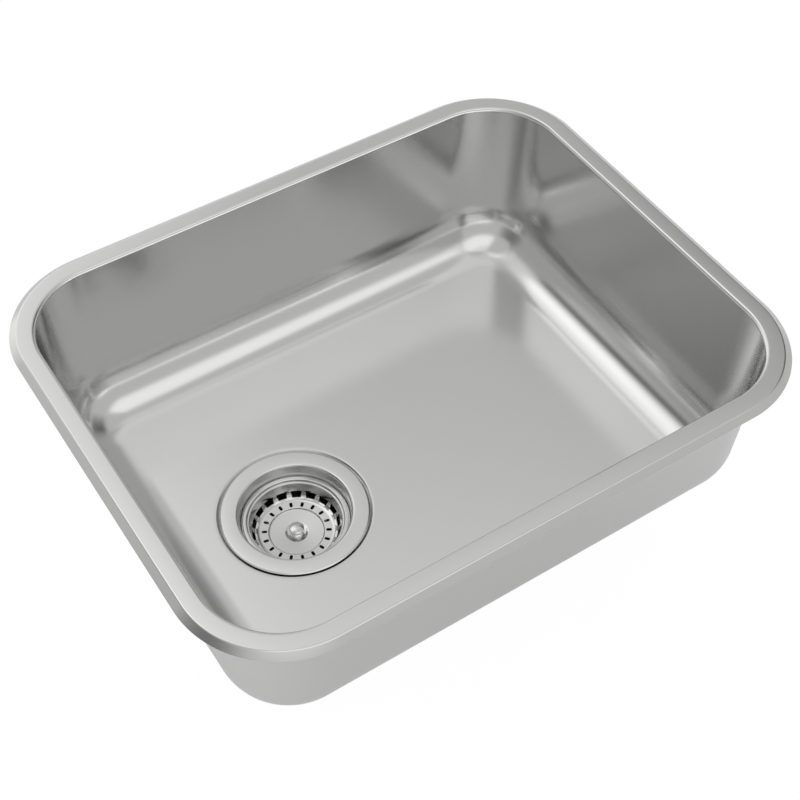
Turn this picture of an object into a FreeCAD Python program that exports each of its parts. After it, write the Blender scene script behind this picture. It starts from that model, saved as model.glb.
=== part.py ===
import FreeCAD
import Part

import math
import os

# Undermount kitchen sink: a deep-drawn steel bowl with a basket strainer waste.
# Millimetres. Origin: centre of the bowl's opening, in the plane of the rim's top face.
# +X runs along the front edge, +Y from the front edge to the back edge, +Z is up.

# Bowl
OPENING_LENGTH = 444.0    # along X, where the walls would meet the rim's plane
OPENING_WIDTH = 352.0     # along Y
OPENING_CORNER = 58.5     # corner radius of the opening in plan
BOWL_DEPTH = 134.0        # rim's top face to the floor
BOWL_SHEET = 0.9
WALL_SLOPE = 4.0          # degrees from upright
FLOOR_FILLET = 40.0       # between wall and floor
RIM_FLAT = 13.5           # opening to the start of the sloped edge
RIM_BEND = 3.0            # between wall and rim
EDGE_OUT = 5.4            # sloped outer edge of the rim, outwards
EDGE_DROP = 4.0           # and downwards
EDGE_BEND = 2.5

# Drain hole and its pressed recess
DRAIN_X = -98.5
DRAIN_Y = -9.0
FLANGE_LAND = 12.0        # flange's edge to the drain hole
RECESS_DEPTH = 1.8
RECESS_GAP = 0.6          # flange's edge to the recess's foot
RECESS_SLOPE_RUN = 2.2
RECESS_BEND = 1.0
RECESS_LAND = 3.0         # sheet beyond the slope that belongs to the pressing

# Sound pad under the floor
PAD_THICKNESS = 2.5
PAD_CORNER = 20.0
PAD_MARGIN = 14.0         # in from the floor's flat part
PAD_DRAIN_GAP = 16.0      # clear of the waste's rim

# Waste flange: flange and cup in one pressing
CUP_SHEET = 1.0
FLANGE_R = 57.0
FLANGE_LIP = 1.4          # width of the turned-down edge
FLANGE_LIP_DROP = 0.6
MOUTH_GAP = 2.0           # drain hole to the cup's mouth
MOUTH_BEND = 2.5
SHELF_DEPTH = 12.5        # ledge that carries the basket
MOUTH_LEAN = 1.4          # mouth to the ledge's outer edge
SHELF_WIDTH = 3.0
SHELF_BEND = 1.0
CUP_DEPTH = 47.5
CUP_TAPER = 3.8           # ledge's inner edge to the cup's foot
CUP_FOOT_BEND = 4.0
CUP_WINDOWS = 6
CUP_WINDOW_INNER_R = 12.0
CUP_WINDOW_MARGIN = 5.0   # in from the stopper seal's lip
CUP_SPOKE = 5.0
CUP_WINDOW_CORNER = 1.5

# Seals between flange, bowl and housing
FLANGE_SEAL_THICKNESS = 1.0
FLANGE_SEAL_INSET = 1.8   # in from the flange's edge
SEAL_BORE_GAP = 1.0       # seals' bores to the drain hole
GASKET_THICKNESS = 3.0
GASKET_SKIRT = 5.0        # downwards, inside the housing's mouth
GASKET_SKIRT_WALL = 1.6
GASKET_EDGE_BEND = 0.75
GASKET_SKIRT_BEND = 0.5
SKIRT_GAP = 0.1

# Waste housing
HOUSING_RIM_WIDTH = 3.8       # outwards from the housing's wall
HOUSING_RIM_HEIGHT = 4.0
HOUSING_WALL = 3.0
HOUSING_NECK = 3.0            # upright wall of the mouth below the gasket's skirt
HOUSING_NECK_BEND = 8.0
HOUSING_BODY_DEPTH = 54.0     # rim's top face to the foot of the body's wall
HOUSING_TAPER = 2.7           # mouth to the foot of the body's wall
HOUSING_FOOT_BEND = 10.0
FUNNEL_DROP = 8.0
FUNNEL_BEND = 5.0
OUTLET_R = 23.9               # outside of the G 1 1/2 thread
OUTLET_LENGTH = 22.0
OUTLET_CHAMFER = 1.2
GUSSETS = 12
GUSSET_WIDTH = 2.2
GUSSET_REACH = 32.0           # down from the rim to the point where a gusset would end
HUB_R = 9.5
HUB_HEIGHT = 18.0
HUB_GAP = 1.5                 # cup's underside to the hub
SPOKES = 4
SPOKE_WIDTH = 2.6
SPOKE_INSET = 4.0             # spokes' top edge below the hub's top
SPOKE_HEIGHT = 20.0

# Centre screw, its washer and the insert
SCREW_R = 4.0
SCREW_HEAD_R = 8.0
SCREW_HEAD_HEIGHT = 6.5
SCREW_BORE_R = 4.0
SCREW_BORE_DEPTH = 5.8
SCREW_SLOT = 2.0
SCREW_BEVEL = 0.8
SCREW_TAIL = 2.0              # beyond the insert's foot
WASHER_R = 10.5
WASHER_THICKNESS = 1.0
SCREW_CLEARANCE = 0.3         # in the cup's floor and the washer
THREAD_CLEARANCE = 0.05
INSERT_R = 6.2
INSERT_HEIGHT = 14.0
INSERT_CLEARANCE = 0.05

# Basket
BASKET_SHEET = 0.7
BASKET_RIM_GAP = 1.0          # to the cup's wall
BASKET_SEAT_GAP = 0.3         # above the cup's shelf
BASKET_HEM = 1.5              # height of the rim's turned-down edge
BASKET_RIM_WIDTH = 3.2
BASKET_STEP_DROP = 2.2        # rim's top face to the step inside it
BASKET_STEP_WIDTH = 1.5
BASKET_RISE_LEAN = 0.4        # lean of the short wall between step and rim
BASKET_RIM_BEND = 0.9
BASKET_STEP_BEND = 0.45
BASKET_DEPTH = 26.3           # flange's top face to the basket's floor
BASKET_TAPER = 6.0            # cup's ledge to the basket's foot
BASKET_FOOT_BEND = 6.5
BASKET_SLOTS = 18
SLOT_TOP_WIDTH = 9.4
SLOT_FOOT_WIDTH = 6.4
SLOT_RISE = 5.6               # slot's top above the basket's floor
SLOT_SILL = 0.8               # slot's foot above the basket's floor
PIERCING_INSET = 7.8          # basket's foot to the circle of the small slots
PIERCING_LENGTH = 4.4
PIERCING_WIDTH = 2.4
DISC_INSET = 3.5              # circle of the small slots to the sunk disc
DISC_DROP = 1.4
DISC_SLOPE_RUN = 0.7
DISC_BEND = 0.8
DIMPLE_R = 9.0
DIMPLE_DROP = 0.8
DIMPLE_SLOPE_RUN = 2.0

# Knob
KNOB_R = 5.8
KNOB_NECK_R = 3.9
KNOB_BASE_R = 5.0
KNOB_BASE_HEIGHT = 1.0
KNOB_HEIGHT = 7.2
KNOB_HEAD_HEIGHT = 3.4
KNOB_NECK_FOOT = 1.6          # top of the base's slope
KNOB_WAIST = 0.35             # how far out the hollow under the head starts, of its width
KNOB_DOME = 1.3               # rise of the domed top

# Stem and what it carries
STEM_R = 2.5
STEM_RUNNING_GAP = 0.06
STEM_TOP = 3.6                # above the dimple, inside the knob
COLLAR_R = 6.0
COLLAR_HEIGHT = 1.5
COLLAR_GAP = 0.3
SEAL_WASHER_R = 11.0
SEAL_WASHER_THICKNESS = 0.8
SEAL_HUB_R = 13.0
SEAL_HUB_THICKNESS = 3.0
SEAL_MARGIN = 4.8             # cup's foot to the seal's lip
SEAL_LIP_THICKNESS = 2.0
SEAL_LIP_BEND = 0.5
SEAL_SEAT_GAP = 0.3
SEAL_NUT_FLATS = 8.0
SEAL_NUT_HEIGHT = 2.4
STEM_FIT_GAP = 0.05           # of washer, seal and nut on the stem
STEM_FOOT_GAP = 0.6           # above the floor of the screw's bore
DETENT_WIRE_R = 0.9
DETENT_BORE_GAP = 0.05
DETENT_ABOVE_FOOT = 2.2

CUT_MARGIN = 1.0              # a cutter's reach past the sheet that it goes through
NEAR = 1e-6

# Sizes and places worked out from the sizes above
SLOPE = math.tan(math.radians(WALL_SLOPE))
CORNER_X = OPENING_LENGTH / 2 - OPENING_CORNER
CORNER_Y = OPENING_WIDTH / 2 - OPENING_CORNER
FLOOR_Z = -BOWL_DEPTH
RECESS_Z = FLOOR_Z - RECESS_DEPTH
RECESS_UNDER_Z = RECESS_Z - BOWL_SHEET
FLANGE_Z = RECESS_Z + FLANGE_SEAL_THICKNESS + CUP_SHEET
CUP_FLOOR_Z = FLANGE_Z - CUP_DEPTH
CUP_UNDER_Z = CUP_FLOOR_Z - CUP_SHEET
HOUSING_Z = RECESS_UNDER_Z - GASKET_THICKNESS
HOUSING_FOOT_Z = HOUSING_Z - HOUSING_BODY_DEPTH
OUTLET_TOP_Z = HOUSING_FOOT_Z - FUNNEL_DROP
OUTLET_END_Z = OUTLET_TOP_Z - OUTLET_LENGTH
HUB_Z = CUP_UNDER_Z - HUB_GAP
DRAIN_HOLE_R = FLANGE_R - FLANGE_LAND
SEAL_BORE_R = DRAIN_HOLE_R + SEAL_BORE_GAP
SKIRT_R = SEAL_BORE_R + GASKET_SKIRT_WALL
HOUSING_MOUTH_R = SKIRT_R + SKIRT_GAP
HOUSING_RIM_R = HOUSING_MOUTH_R + HOUSING_WALL + HOUSING_RIM_WIDTH
HOUSING_FOOT_R = HOUSING_MOUTH_R - HOUSING_TAPER
MOUTH_R = DRAIN_HOLE_R - MOUTH_GAP
SHELF_OUTER_R = MOUTH_R - MOUTH_LEAN
SHELF_INNER_R = SHELF_OUTER_R - SHELF_WIDTH
CUP_FOOT_R = SHELF_INNER_R - CUP_TAPER
SEAL_R = CUP_FOOT_R - SEAL_MARGIN
CUP_WINDOW_OUTER_R = SEAL_R - CUP_WINDOW_MARGIN
SHELF_Z = FLANGE_Z - SHELF_DEPTH
BASKET_FOOT_R = SHELF_INNER_R - BASKET_TAPER
PIERCING_R = BASKET_FOOT_R - PIERCING_INSET
DISC_R = PIERCING_R - DISC_INSET
BASKET_RIM_R = SHELF_OUTER_R - BASKET_RIM_GAP
BASKET_RIM_Z = SHELF_Z + BASKET_SEAT_GAP + BASKET_HEM
BASKET_FLOOR_Z = FLANGE_Z - BASKET_DEPTH
DISC_Z = BASKET_FLOOR_Z - DISC_DROP
DIMPLE_Z = DISC_Z - DIMPLE_DROP
STEM_HOLE_R = STEM_R + STEM_RUNNING_GAP
COLLAR_Z = DIMPLE_Z - BASKET_SHEET - COLLAR_GAP
SEAL_WASHER_Z = COLLAR_Z - COLLAR_HEIGHT
SEAL_Z = SEAL_WASHER_Z - SEAL_WASHER_THICKNESS
SEAL_NUT_Z = SEAL_Z - SEAL_HUB_THICKNESS
SCREW_SEAT_Z = CUP_FLOOR_Z + WASHER_THICKNESS
SCREW_HEAD_Z = SCREW_SEAT_Z + SCREW_HEAD_HEIGHT
STEM_FOOT_Z = SCREW_HEAD_Z - SCREW_BORE_DEPTH + STEM_FOOT_GAP


def vector(x, y, z):
    return FreeCAD.Vector(x, y, z)


def bent_edges(corners, closed=False):
    """Straight runs joined by tangent arcs, in the XZ plane, from (r, z, bend radius) corners."""
    count = len(corners)
    starts, ends, arcs = [], [], []
    for i, (r, z, bend) in enumerate(corners):
        point = vector(r, 0, z)
        if bend <= 0 or (not closed and i in (0, count - 1)):
            starts.append(point)
            ends.append(point)
            arcs.append(None)
            continue
        before, after = corners[i - 1], corners[(i + 1) % count]
        to_before = (vector(before[0], 0, before[1]) - point).normalize()
        to_after = (vector(after[0], 0, after[1]) - point).normalize()
        half = to_before.getAngle(to_after) / 2
        reach = bend / math.tan(half)
        middle = (to_before + to_after).normalize() * (bend / math.sin(half) - bend)
        starts.append(point + to_before * reach)
        ends.append(point + to_after * reach)
        arcs.append(Part.Arc(starts[-1], point + middle, ends[-1]).toShape())
    edges = []
    for i in range(count):
        if arcs[i]:
            edges.append(arcs[i])
        following = (i + 1) % count
        if following or closed:
            edges.append(Part.LineSegment(ends[i], starts[following]).toShape())
    return edges


def other_skin(corners, thickness):
    """The same path moved by the sheet's thickness to its right-hand side."""
    points = [vector(r, 0, z) for r, z, bend in corners]
    runs = [(b - a).normalize() for a, b in zip(points, points[1:])]
    sides = [vector(run.z, 0, -run.x) for run in runs]
    moved = []
    for i, (point, corner) in enumerate(zip(points, corners)):
        side_in, side_out = sides[max(i - 1, 0)], sides[min(i, len(sides) - 1)]
        shift = (side_in + side_out) * (thickness / (1 + side_in.dot(side_out)))
        bend = corner[2]
        if bend:
            turn = runs[max(i - 1, 0)].cross(runs[min(i, len(runs) - 1)]).y
            bend = max(bend + (thickness if turn < 0 else -thickness), 0)
        moved.append((point.x + shift.x, point.z + shift.z, bend))
    return moved


def sheet_face(corners, thickness):
    """Section of a sheet whose visible skin follows the corners, with its body on the right."""
    skin = bent_edges(corners)
    back = bent_edges(other_skin(corners, thickness))
    loop = skin + [Part.LineSegment(skin[-1].lastVertex(True).Point, back[-1].lastVertex(True).Point).toShape()]
    loop += back + [Part.LineSegment(back[0].firstVertex(True).Point, skin[0].firstVertex(True).Point).toShape()]
    return Part.Face(Part.Wire(Part.__sortEdges__(loop)))


def solid_face(corners):
    """Closed section from (r, z, bend radius) corners."""
    return Part.Face(Part.Wire(Part.__sortEdges__(bent_edges(corners, closed=True))))


def turned(face, angle=360):
    return face.revolve(vector(0, 0, 0), vector(0, 0, 1), angle)


def ring(inner_r, outer_r, low_z, high_z):
    solid = Part.makeCylinder(outer_r, high_z - low_z, vector(0, 0, low_z))
    return solid.cut(Part.makeCylinder(inner_r, high_z - low_z, vector(0, 0, low_z)))


def around(shape, count, first_angle=0.0):
    """Copies of a shape about the Z axis, evenly spaced."""
    copies = []
    for i in range(count):
        copy = shape.copy()
        copy.rotate(vector(0, 0, 0), vector(0, 0, 1), first_angle + i * 360 / count)
        copies.append(copy)
    return copies


def rounded(face, radius):
    """A flat face with its outward corners rounded."""
    return face.makeOffset2D(-radius).makeOffset2D(radius)


def bowl_section():
    """Floor, wall, rim and sloped edge, outwards from the upright axis of a plan corner."""
    return sheet_face([
        (0, FLOOR_Z, 0),
        (OPENING_CORNER - BOWL_DEPTH * SLOPE, FLOOR_Z, FLOOR_FILLET),
        (OPENING_CORNER, 0, RIM_BEND),
        (OPENING_CORNER + RIM_FLAT, 0, EDGE_BEND),
        (OPENING_CORNER + RIM_FLAT + EDGE_OUT, -EDGE_DROP, 0),
    ], BOWL_SHEET)


def recess_section():
    """Pressed ring round the drain hole, which lets the flange lie level with the floor."""
    foot_r = FLANGE_R + RECESS_GAP
    return sheet_face([
        (DRAIN_HOLE_R, RECESS_Z, 0),
        (foot_r, RECESS_Z, RECESS_BEND),
        (foot_r + RECESS_SLOPE_RUN, FLOOR_Z, RECESS_BEND),
        (foot_r + RECESS_SLOPE_RUN + RECESS_LAND, FLOOR_Z, 0),
    ], BOWL_SHEET)


def sink_bowl():
    section = bowl_section()
    pieces = []
    for quarter in range(4):
        x = CORNER_X if quarter in (0, 3) else -CORNER_X
        y = CORNER_Y if quarter in (0, 1) else -CORNER_Y
        run = 2 * (CORNER_X if quarter % 2 == 0 else CORNER_Y)
        corner = turned(section, 90)
        side = section.copy()
        side.rotate(vector(0, 0, 0), vector(0, 0, 1), 90)
        side = side.extrude(vector(-run, 0, 0))
        for shape in (corner, side):
            shape.rotate(vector(0, 0, 0), vector(0, 0, 1), 90 * quarter)
            shape.translate(vector(x, y, 0))
            pieces.append(shape)
    slab = Part.makeBox(2 * CORNER_X, 2 * CORNER_Y, BOWL_SHEET,
                        vector(-CORNER_X, -CORNER_Y, FLOOR_Z - BOWL_SHEET))
    bowl = slab.fuse(pieces).removeSplitter()
    land_r = FLANGE_R + RECESS_GAP + RECESS_SLOPE_RUN + RECESS_LAND
    opening = Part.makeCylinder(land_r, BOWL_SHEET + 2 * CUT_MARGIN,
                                vector(DRAIN_X, DRAIN_Y, FLOOR_Z - BOWL_SHEET - CUT_MARGIN))
    return bowl.cut(opening).fuse(at_drain(turned(recess_section()))).removeSplitter()


def floor_inset():
    """Plan distance from the opening's edge to the floor's flat part."""
    return BOWL_DEPTH * SLOPE + FLOOR_FILLET * math.tan(math.radians(90 - WALL_SLOPE) / 2)


def sound_pad():
    right = OPENING_LENGTH / 2 - floor_inset() - PAD_MARGIN
    left = DRAIN_X + FLANGE_R + PAD_DRAIN_GAP
    half_width = OPENING_WIDTH / 2 - floor_inset() - PAD_MARGIN
    top = FLOOR_Z - BOWL_SHEET
    plate = Part.makeBox(right - left, 2 * half_width, PAD_THICKNESS,
                         vector(left, -half_width, top - PAD_THICKNESS))
    upright = [edge for edge in plate.Edges if edge.Vertexes[0].X == edge.Vertexes[1].X
               and edge.Vertexes[0].Y == edge.Vertexes[1].Y]
    return plate.makeFillet(PAD_CORNER, upright)


def cup_window():
    """One drain window of the cup's floor, centred on +X, with rounded corners."""
    blank = Part.makeCylinder(CUP_WINDOW_OUTER_R, CUP_SHEET, vector(0, 0, 0), vector(0, 0, 1), 360 / CUP_WINDOWS)
    blank.rotate(vector(0, 0, 0), vector(0, 0, 1), -180 / CUP_WINDOWS)
    blank = blank.cut(Part.makeCylinder(CUP_WINDOW_INNER_R, CUP_SHEET))
    for turn in (-180 / CUP_WINDOWS, 180 / CUP_WINDOWS):
        spoke = Part.makeBox(CUP_WINDOW_OUTER_R, CUP_SPOKE, CUP_SHEET, vector(0, -CUP_SPOKE / 2, 0))
        spoke.rotate(vector(0, 0, 0), vector(0, 0, 1), turn)
        blank = blank.cut(spoke)
    floor = [face for face in blank.Faces if abs(face.CenterOfMass.z) < NEAR][0]
    return rounded(floor, CUP_WINDOW_CORNER).extrude(vector(0, 0, CUP_SHEET + 2 * CUT_MARGIN))


def waste_flange():
    cup = turned(sheet_face([
        (SCREW_R + SCREW_CLEARANCE, CUP_FLOOR_Z, 0),
        (CUP_FOOT_R, CUP_FLOOR_Z, CUP_FOOT_BEND),
        (SHELF_INNER_R, SHELF_Z, SHELF_BEND),
        (SHELF_OUTER_R, SHELF_Z, SHELF_BEND),
        (MOUTH_R, FLANGE_Z, MOUTH_BEND),
        (FLANGE_R - FLANGE_LIP, FLANGE_Z, FLANGE_LIP),
        (FLANGE_R, FLANGE_Z - FLANGE_LIP_DROP, 0),
    ], CUP_SHEET))
    window = cup_window()
    window.translate(vector(0, 0, CUP_UNDER_Z - CUT_MARGIN))
    return at_drain(cup.cut(around(window, CUP_WINDOWS)))


def flange_seal():
    outer_r = FLANGE_R - FLANGE_SEAL_INSET
    return at_drain(ring(SEAL_BORE_R, outer_r, RECESS_Z, RECESS_Z + FLANGE_SEAL_THICKNESS))


def housing_gasket():
    return at_drain(turned(solid_face([
        (SEAL_BORE_R, RECESS_UNDER_Z, 0),
        (HOUSING_RIM_R, RECESS_UNDER_Z, GASKET_EDGE_BEND),
        (HOUSING_RIM_R, HOUSING_Z, GASKET_EDGE_BEND),
        (SKIRT_R, HOUSING_Z, 0),
        (SKIRT_R, HOUSING_Z - GASKET_SKIRT, GASKET_SKIRT_BEND),
        (SEAL_BORE_R, HOUSING_Z - GASKET_SKIRT, GASKET_SKIRT_BEND),
    ])))


def housing_bore():
    """Corners of the housing's inner skin, from the outlet's end to the mouth."""
    return [
        (OUTLET_R - HOUSING_WALL, OUTLET_END_Z, 0),
        (OUTLET_R - HOUSING_WALL, OUTLET_TOP_Z, FUNNEL_BEND),
        (HOUSING_FOOT_R, HOUSING_FOOT_Z, HOUSING_FOOT_BEND),
        (HOUSING_MOUTH_R, HOUSING_Z - GASKET_SKIRT - HOUSING_NECK, HOUSING_NECK_BEND),
        (HOUSING_MOUTH_R, HOUSING_Z, 0),
    ]


def waste_housing():
    bore = housing_bore()
    body = turned(sheet_face(bore, HOUSING_WALL))
    rim = ring(HOUSING_MOUTH_R + HOUSING_WALL / 2, HOUSING_RIM_R, HOUSING_Z - HOUSING_RIM_HEIGHT, HOUSING_Z)
    hollow = turned(Part.Face(Part.Wire(Part.__sortEdges__(
        bent_edges(bore) + bent_edges([(bore[-1][0], bore[-1][1], 0), (0, bore[-1][1], 0),
                                       (0, bore[0][1], 0), (bore[0][0], bore[0][1], 0)])))))
    spokes_top = HUB_Z - SPOKE_INSET
    spoke = Part.makeBox(HOUSING_RIM_R, SPOKE_WIDTH, SPOKE_HEIGHT,
                         vector(0, -SPOKE_WIDTH / 2, spokes_top - SPOKE_HEIGHT))
    hub = Part.makeCylinder(HUB_R, HUB_HEIGHT, vector(0, 0, HUB_Z - HUB_HEIGHT))
    spokes = hollow.common(spoke.fuse(around(spoke, SPOKES)[1:]))
    gusset = Part.Face(Part.makePolygon([
        vector(HOUSING_FOOT_R, -GUSSET_WIDTH / 2, HOUSING_Z - HOUSING_RIM_HEIGHT),
        vector(HOUSING_RIM_R, -GUSSET_WIDTH / 2, HOUSING_Z - HOUSING_RIM_HEIGHT),
        vector(HOUSING_FOOT_R, -GUSSET_WIDTH / 2, HOUSING_Z - HOUSING_RIM_HEIGHT - GUSSET_REACH),
        vector(HOUSING_FOOT_R, -GUSSET_WIDTH / 2, HOUSING_Z - HOUSING_RIM_HEIGHT),
    ])).extrude(vector(0, GUSSET_WIDTH, 0))
    gussets = [copy.cut(hollow) for copy in around(gusset, GUSSETS)]
    housing = body.fuse([rim, hub, spokes] + gussets)
    tail_z = HUB_Z - INSERT_HEIGHT
    housing = housing.cut(Part.makeCylinder(INSERT_R + INSERT_CLEARANCE, INSERT_HEIGHT, vector(0, 0, tail_z)))
    tail = Part.makeCylinder(SCREW_R + SCREW_CLEARANCE, HUB_HEIGHT, vector(0, 0, HUB_Z - HUB_HEIGHT))
    housing = housing.cut(tail).removeSplitter()
    end_edges = [edge for edge in housing.Edges
                 if abs(edge.BoundBox.ZMax - OUTLET_END_Z) < NEAR and edge.BoundBox.XMax > OUTLET_R - NEAR]
    return at_drain(housing.makeChamfer(OUTLET_CHAMFER, end_edges))


def hub_insert():
    return at_drain(ring(SCREW_R + THREAD_CLEARANCE, INSERT_R, HUB_Z - INSERT_HEIGHT, HUB_Z))


def screw_washer():
    return at_drain(ring(SCREW_R + SCREW_CLEARANCE, WASHER_R, CUP_FLOOR_Z, SCREW_SEAT_Z))


def centre_screw():
    """Cheese-headed screw with a blind bore in its head, where the basket's stem stands."""
    foot_z = HUB_Z - INSERT_HEIGHT - SCREW_TAIL
    screw = turned(Part.Face(Part.makePolygon([
        vector(0, 0, foot_z),
        vector(SCREW_R - SCREW_BEVEL, 0, foot_z),
        vector(SCREW_R, 0, foot_z + SCREW_BEVEL),
        vector(SCREW_R, 0, SCREW_SEAT_Z),
        vector(SCREW_HEAD_R, 0, SCREW_SEAT_Z),
        vector(SCREW_HEAD_R, 0, SCREW_HEAD_Z - SCREW_BEVEL),
        vector(SCREW_HEAD_R - SCREW_BEVEL, 0, SCREW_HEAD_Z),
        vector(SCREW_BORE_R, 0, SCREW_HEAD_Z),
        vector(SCREW_BORE_R, 0, SCREW_HEAD_Z - SCREW_BORE_DEPTH),
        vector(0, 0, SCREW_HEAD_Z - SCREW_BORE_DEPTH),
        vector(0, 0, foot_z),
    ])))
    slot = Part.makeBox(2 * SCREW_HEAD_R, SCREW_SLOT, SCREW_SLOT,
                        vector(-SCREW_HEAD_R, -SCREW_SLOT / 2, SCREW_HEAD_Z - SCREW_SLOT))
    return at_drain(screw.cut(slot))


def basket_slot():
    """Trapezoid punched from the centre outwards through the basket's rounded foot."""
    top = BASKET_FLOOR_Z + SLOT_RISE
    foot = BASKET_FLOOR_Z + SLOT_SILL
    inner_r = BASKET_FOOT_R - BASKET_FOOT_BEND
    outline = Part.makePolygon([
        vector(inner_r, -SLOT_FOOT_WIDTH / 2, foot),
        vector(inner_r, SLOT_FOOT_WIDTH / 2, foot),
        vector(inner_r, SLOT_TOP_WIDTH / 2, top),
        vector(inner_r, -SLOT_TOP_WIDTH / 2, top),
        vector(inner_r, -SLOT_FOOT_WIDTH / 2, foot),
    ])
    return Part.Face(outline).extrude(vector(BASKET_RIM_R - inner_r, 0, 0))


def basket_piercing():
    """Small slot with round ends, its length along the radius."""
    half = (PIERCING_LENGTH - PIERCING_WIDTH) / 2
    depth = BASKET_SHEET + 2 * CUT_MARGIN
    low_z = BASKET_FLOOR_Z - BASKET_SHEET - CUT_MARGIN
    piercing = Part.makeBox(2 * half, PIERCING_WIDTH, depth, vector(PIERCING_R - half, -PIERCING_WIDTH / 2, low_z))
    for r in (PIERCING_R - half, PIERCING_R + half):
        piercing = piercing.fuse(Part.makeCylinder(PIERCING_WIDTH / 2, depth, vector(r, 0, low_z)))
    return piercing.removeSplitter()


def basket_shell():
    step_z = BASKET_RIM_Z - BASKET_STEP_DROP
    rim_inner_r = BASKET_RIM_R - BASKET_RIM_WIDTH
    step_r = rim_inner_r - BASKET_RISE_LEAN
    shell = turned(sheet_face([
        (STEM_HOLE_R, DIMPLE_Z, 0),
        (DIMPLE_R - DIMPLE_SLOPE_RUN, DIMPLE_Z, DIMPLE_SLOPE_RUN),
        (DIMPLE_R, DISC_Z, DIMPLE_SLOPE_RUN),
        (DISC_R - DISC_SLOPE_RUN / 2, DISC_Z, DISC_BEND),
        (DISC_R + DISC_SLOPE_RUN / 2, BASKET_FLOOR_Z, DISC_BEND),
        (BASKET_FOOT_R, BASKET_FLOOR_Z, BASKET_FOOT_BEND),
        (step_r - BASKET_STEP_WIDTH, step_z, BASKET_RIM_BEND),
        (step_r, step_z, BASKET_STEP_BEND),
        (rim_inner_r, BASKET_RIM_Z, BASKET_RIM_BEND),
        (BASKET_RIM_R, BASKET_RIM_Z, BASKET_RIM_BEND),
        (BASKET_RIM_R, BASKET_RIM_Z - BASKET_HEM, 0),
    ], BASKET_SHEET))
    pitch = 360 / BASKET_SLOTS
    cuts = around(basket_slot(), BASKET_SLOTS, 90 + pitch / 2)
    cuts += around(basket_piercing(), BASKET_SLOTS, 90)
    return at_drain(shell.cut(cuts))


def basket_knob():
    """Domed knob on a short neck, bored for the stem, standing in the dimple."""
    head_foot_z = DIMPLE_Z + KNOB_HEIGHT - KNOB_HEAD_HEIGHT
    shoulder_z = DIMPLE_Z + KNOB_HEIGHT - KNOB_DOME
    bore_z = DIMPLE_Z + STEM_TOP + STEM_RUNNING_GAP
    neck_foot_z = DIMPLE_Z + KNOB_NECK_FOOT
    dome_r = (KNOB_R ** 2 + KNOB_DOME ** 2) / (2 * KNOB_DOME)
    dome_middle_z = DIMPLE_Z + KNOB_HEIGHT - dome_r + math.sqrt(dome_r ** 2 - (KNOB_R / 2) ** 2)
    dome = Part.Arc(vector(0, 0, DIMPLE_Z + KNOB_HEIGHT),
                    vector(KNOB_R / 2, 0, dome_middle_z),
                    vector(KNOB_R, 0, shoulder_z)).toShape()
    waist = Part.Arc(vector(KNOB_R, 0, (head_foot_z + shoulder_z) / 2),
                     vector(KNOB_NECK_R + (KNOB_R - KNOB_NECK_R) * KNOB_WAIST, 0, head_foot_z),
                     vector(KNOB_NECK_R, 0, neck_foot_z)).toShape()
    edges = [dome, waist]
    edges.append(Part.LineSegment(vector(KNOB_R, 0, shoulder_z),
                                  vector(KNOB_R, 0, (head_foot_z + shoulder_z) / 2)).toShape())
    edges += Part.makePolygon([
        vector(KNOB_NECK_R, 0, neck_foot_z),
        vector(KNOB_BASE_R, 0, DIMPLE_Z + KNOB_BASE_HEIGHT),
        vector(KNOB_BASE_R, 0, DIMPLE_Z),
        vector(STEM_HOLE_R, 0, DIMPLE_Z),
        vector(STEM_HOLE_R, 0, bore_z),
        vector(0, 0, bore_z),
        vector(0, 0, DIMPLE_Z + KNOB_HEIGHT),
    ]).Edges
    return at_drain(turned(Part.Face(Part.Wire(Part.__sortEdges__(edges)))))


def basket_stem():
    detent_z = STEM_FOOT_Z + DETENT_ABOVE_FOOT
    groove_r = SCREW_BORE_R - DETENT_BORE_GAP - 2 * DETENT_WIRE_R
    stem = Part.makeCylinder(STEM_R, DIMPLE_Z + STEM_TOP - STEM_FOOT_Z, vector(0, 0, STEM_FOOT_Z))
    stem = stem.fuse(Part.makeCylinder(COLLAR_R, COLLAR_HEIGHT, vector(0, 0, SEAL_WASHER_Z)))
    groove = ring(groove_r, SCREW_BORE_R, detent_z - DETENT_WIRE_R, detent_z + DETENT_WIRE_R)
    return at_drain(stem.cut(groove).removeSplitter())


def detent_ring():
    centre_r = SCREW_BORE_R - DETENT_BORE_GAP - DETENT_WIRE_R
    return at_drain(Part.makeTorus(centre_r, DETENT_WIRE_R, vector(0, 0, STEM_FOOT_Z + DETENT_ABOVE_FOOT)))


def seal_washer():
    return at_drain(ring(STEM_R + STEM_FIT_GAP, SEAL_WASHER_R, SEAL_Z, SEAL_WASHER_Z))


def stopper_seal():
    """Rubber umbrella: a flat hub under the washer, and a cone down to a lip on the cup's floor."""
    lip_z = CUP_FLOOR_Z + SEAL_SEAT_GAP
    bend = SEAL_HUB_THICKNESS
    return at_drain(turned(solid_face([
        (STEM_R + STEM_FIT_GAP, SEAL_Z, 0),
        (SEAL_HUB_R, SEAL_Z, bend),
        (SEAL_R, lip_z + SEAL_LIP_THICKNESS, 0),
        (SEAL_R, lip_z, SEAL_LIP_BEND),
        (SEAL_R - SEAL_LIP_THICKNESS, lip_z, SEAL_LIP_BEND),
        (SEAL_HUB_R, SEAL_NUT_Z, bend),
        (STEM_R + STEM_FIT_GAP, SEAL_NUT_Z, 0),
    ])))


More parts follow.
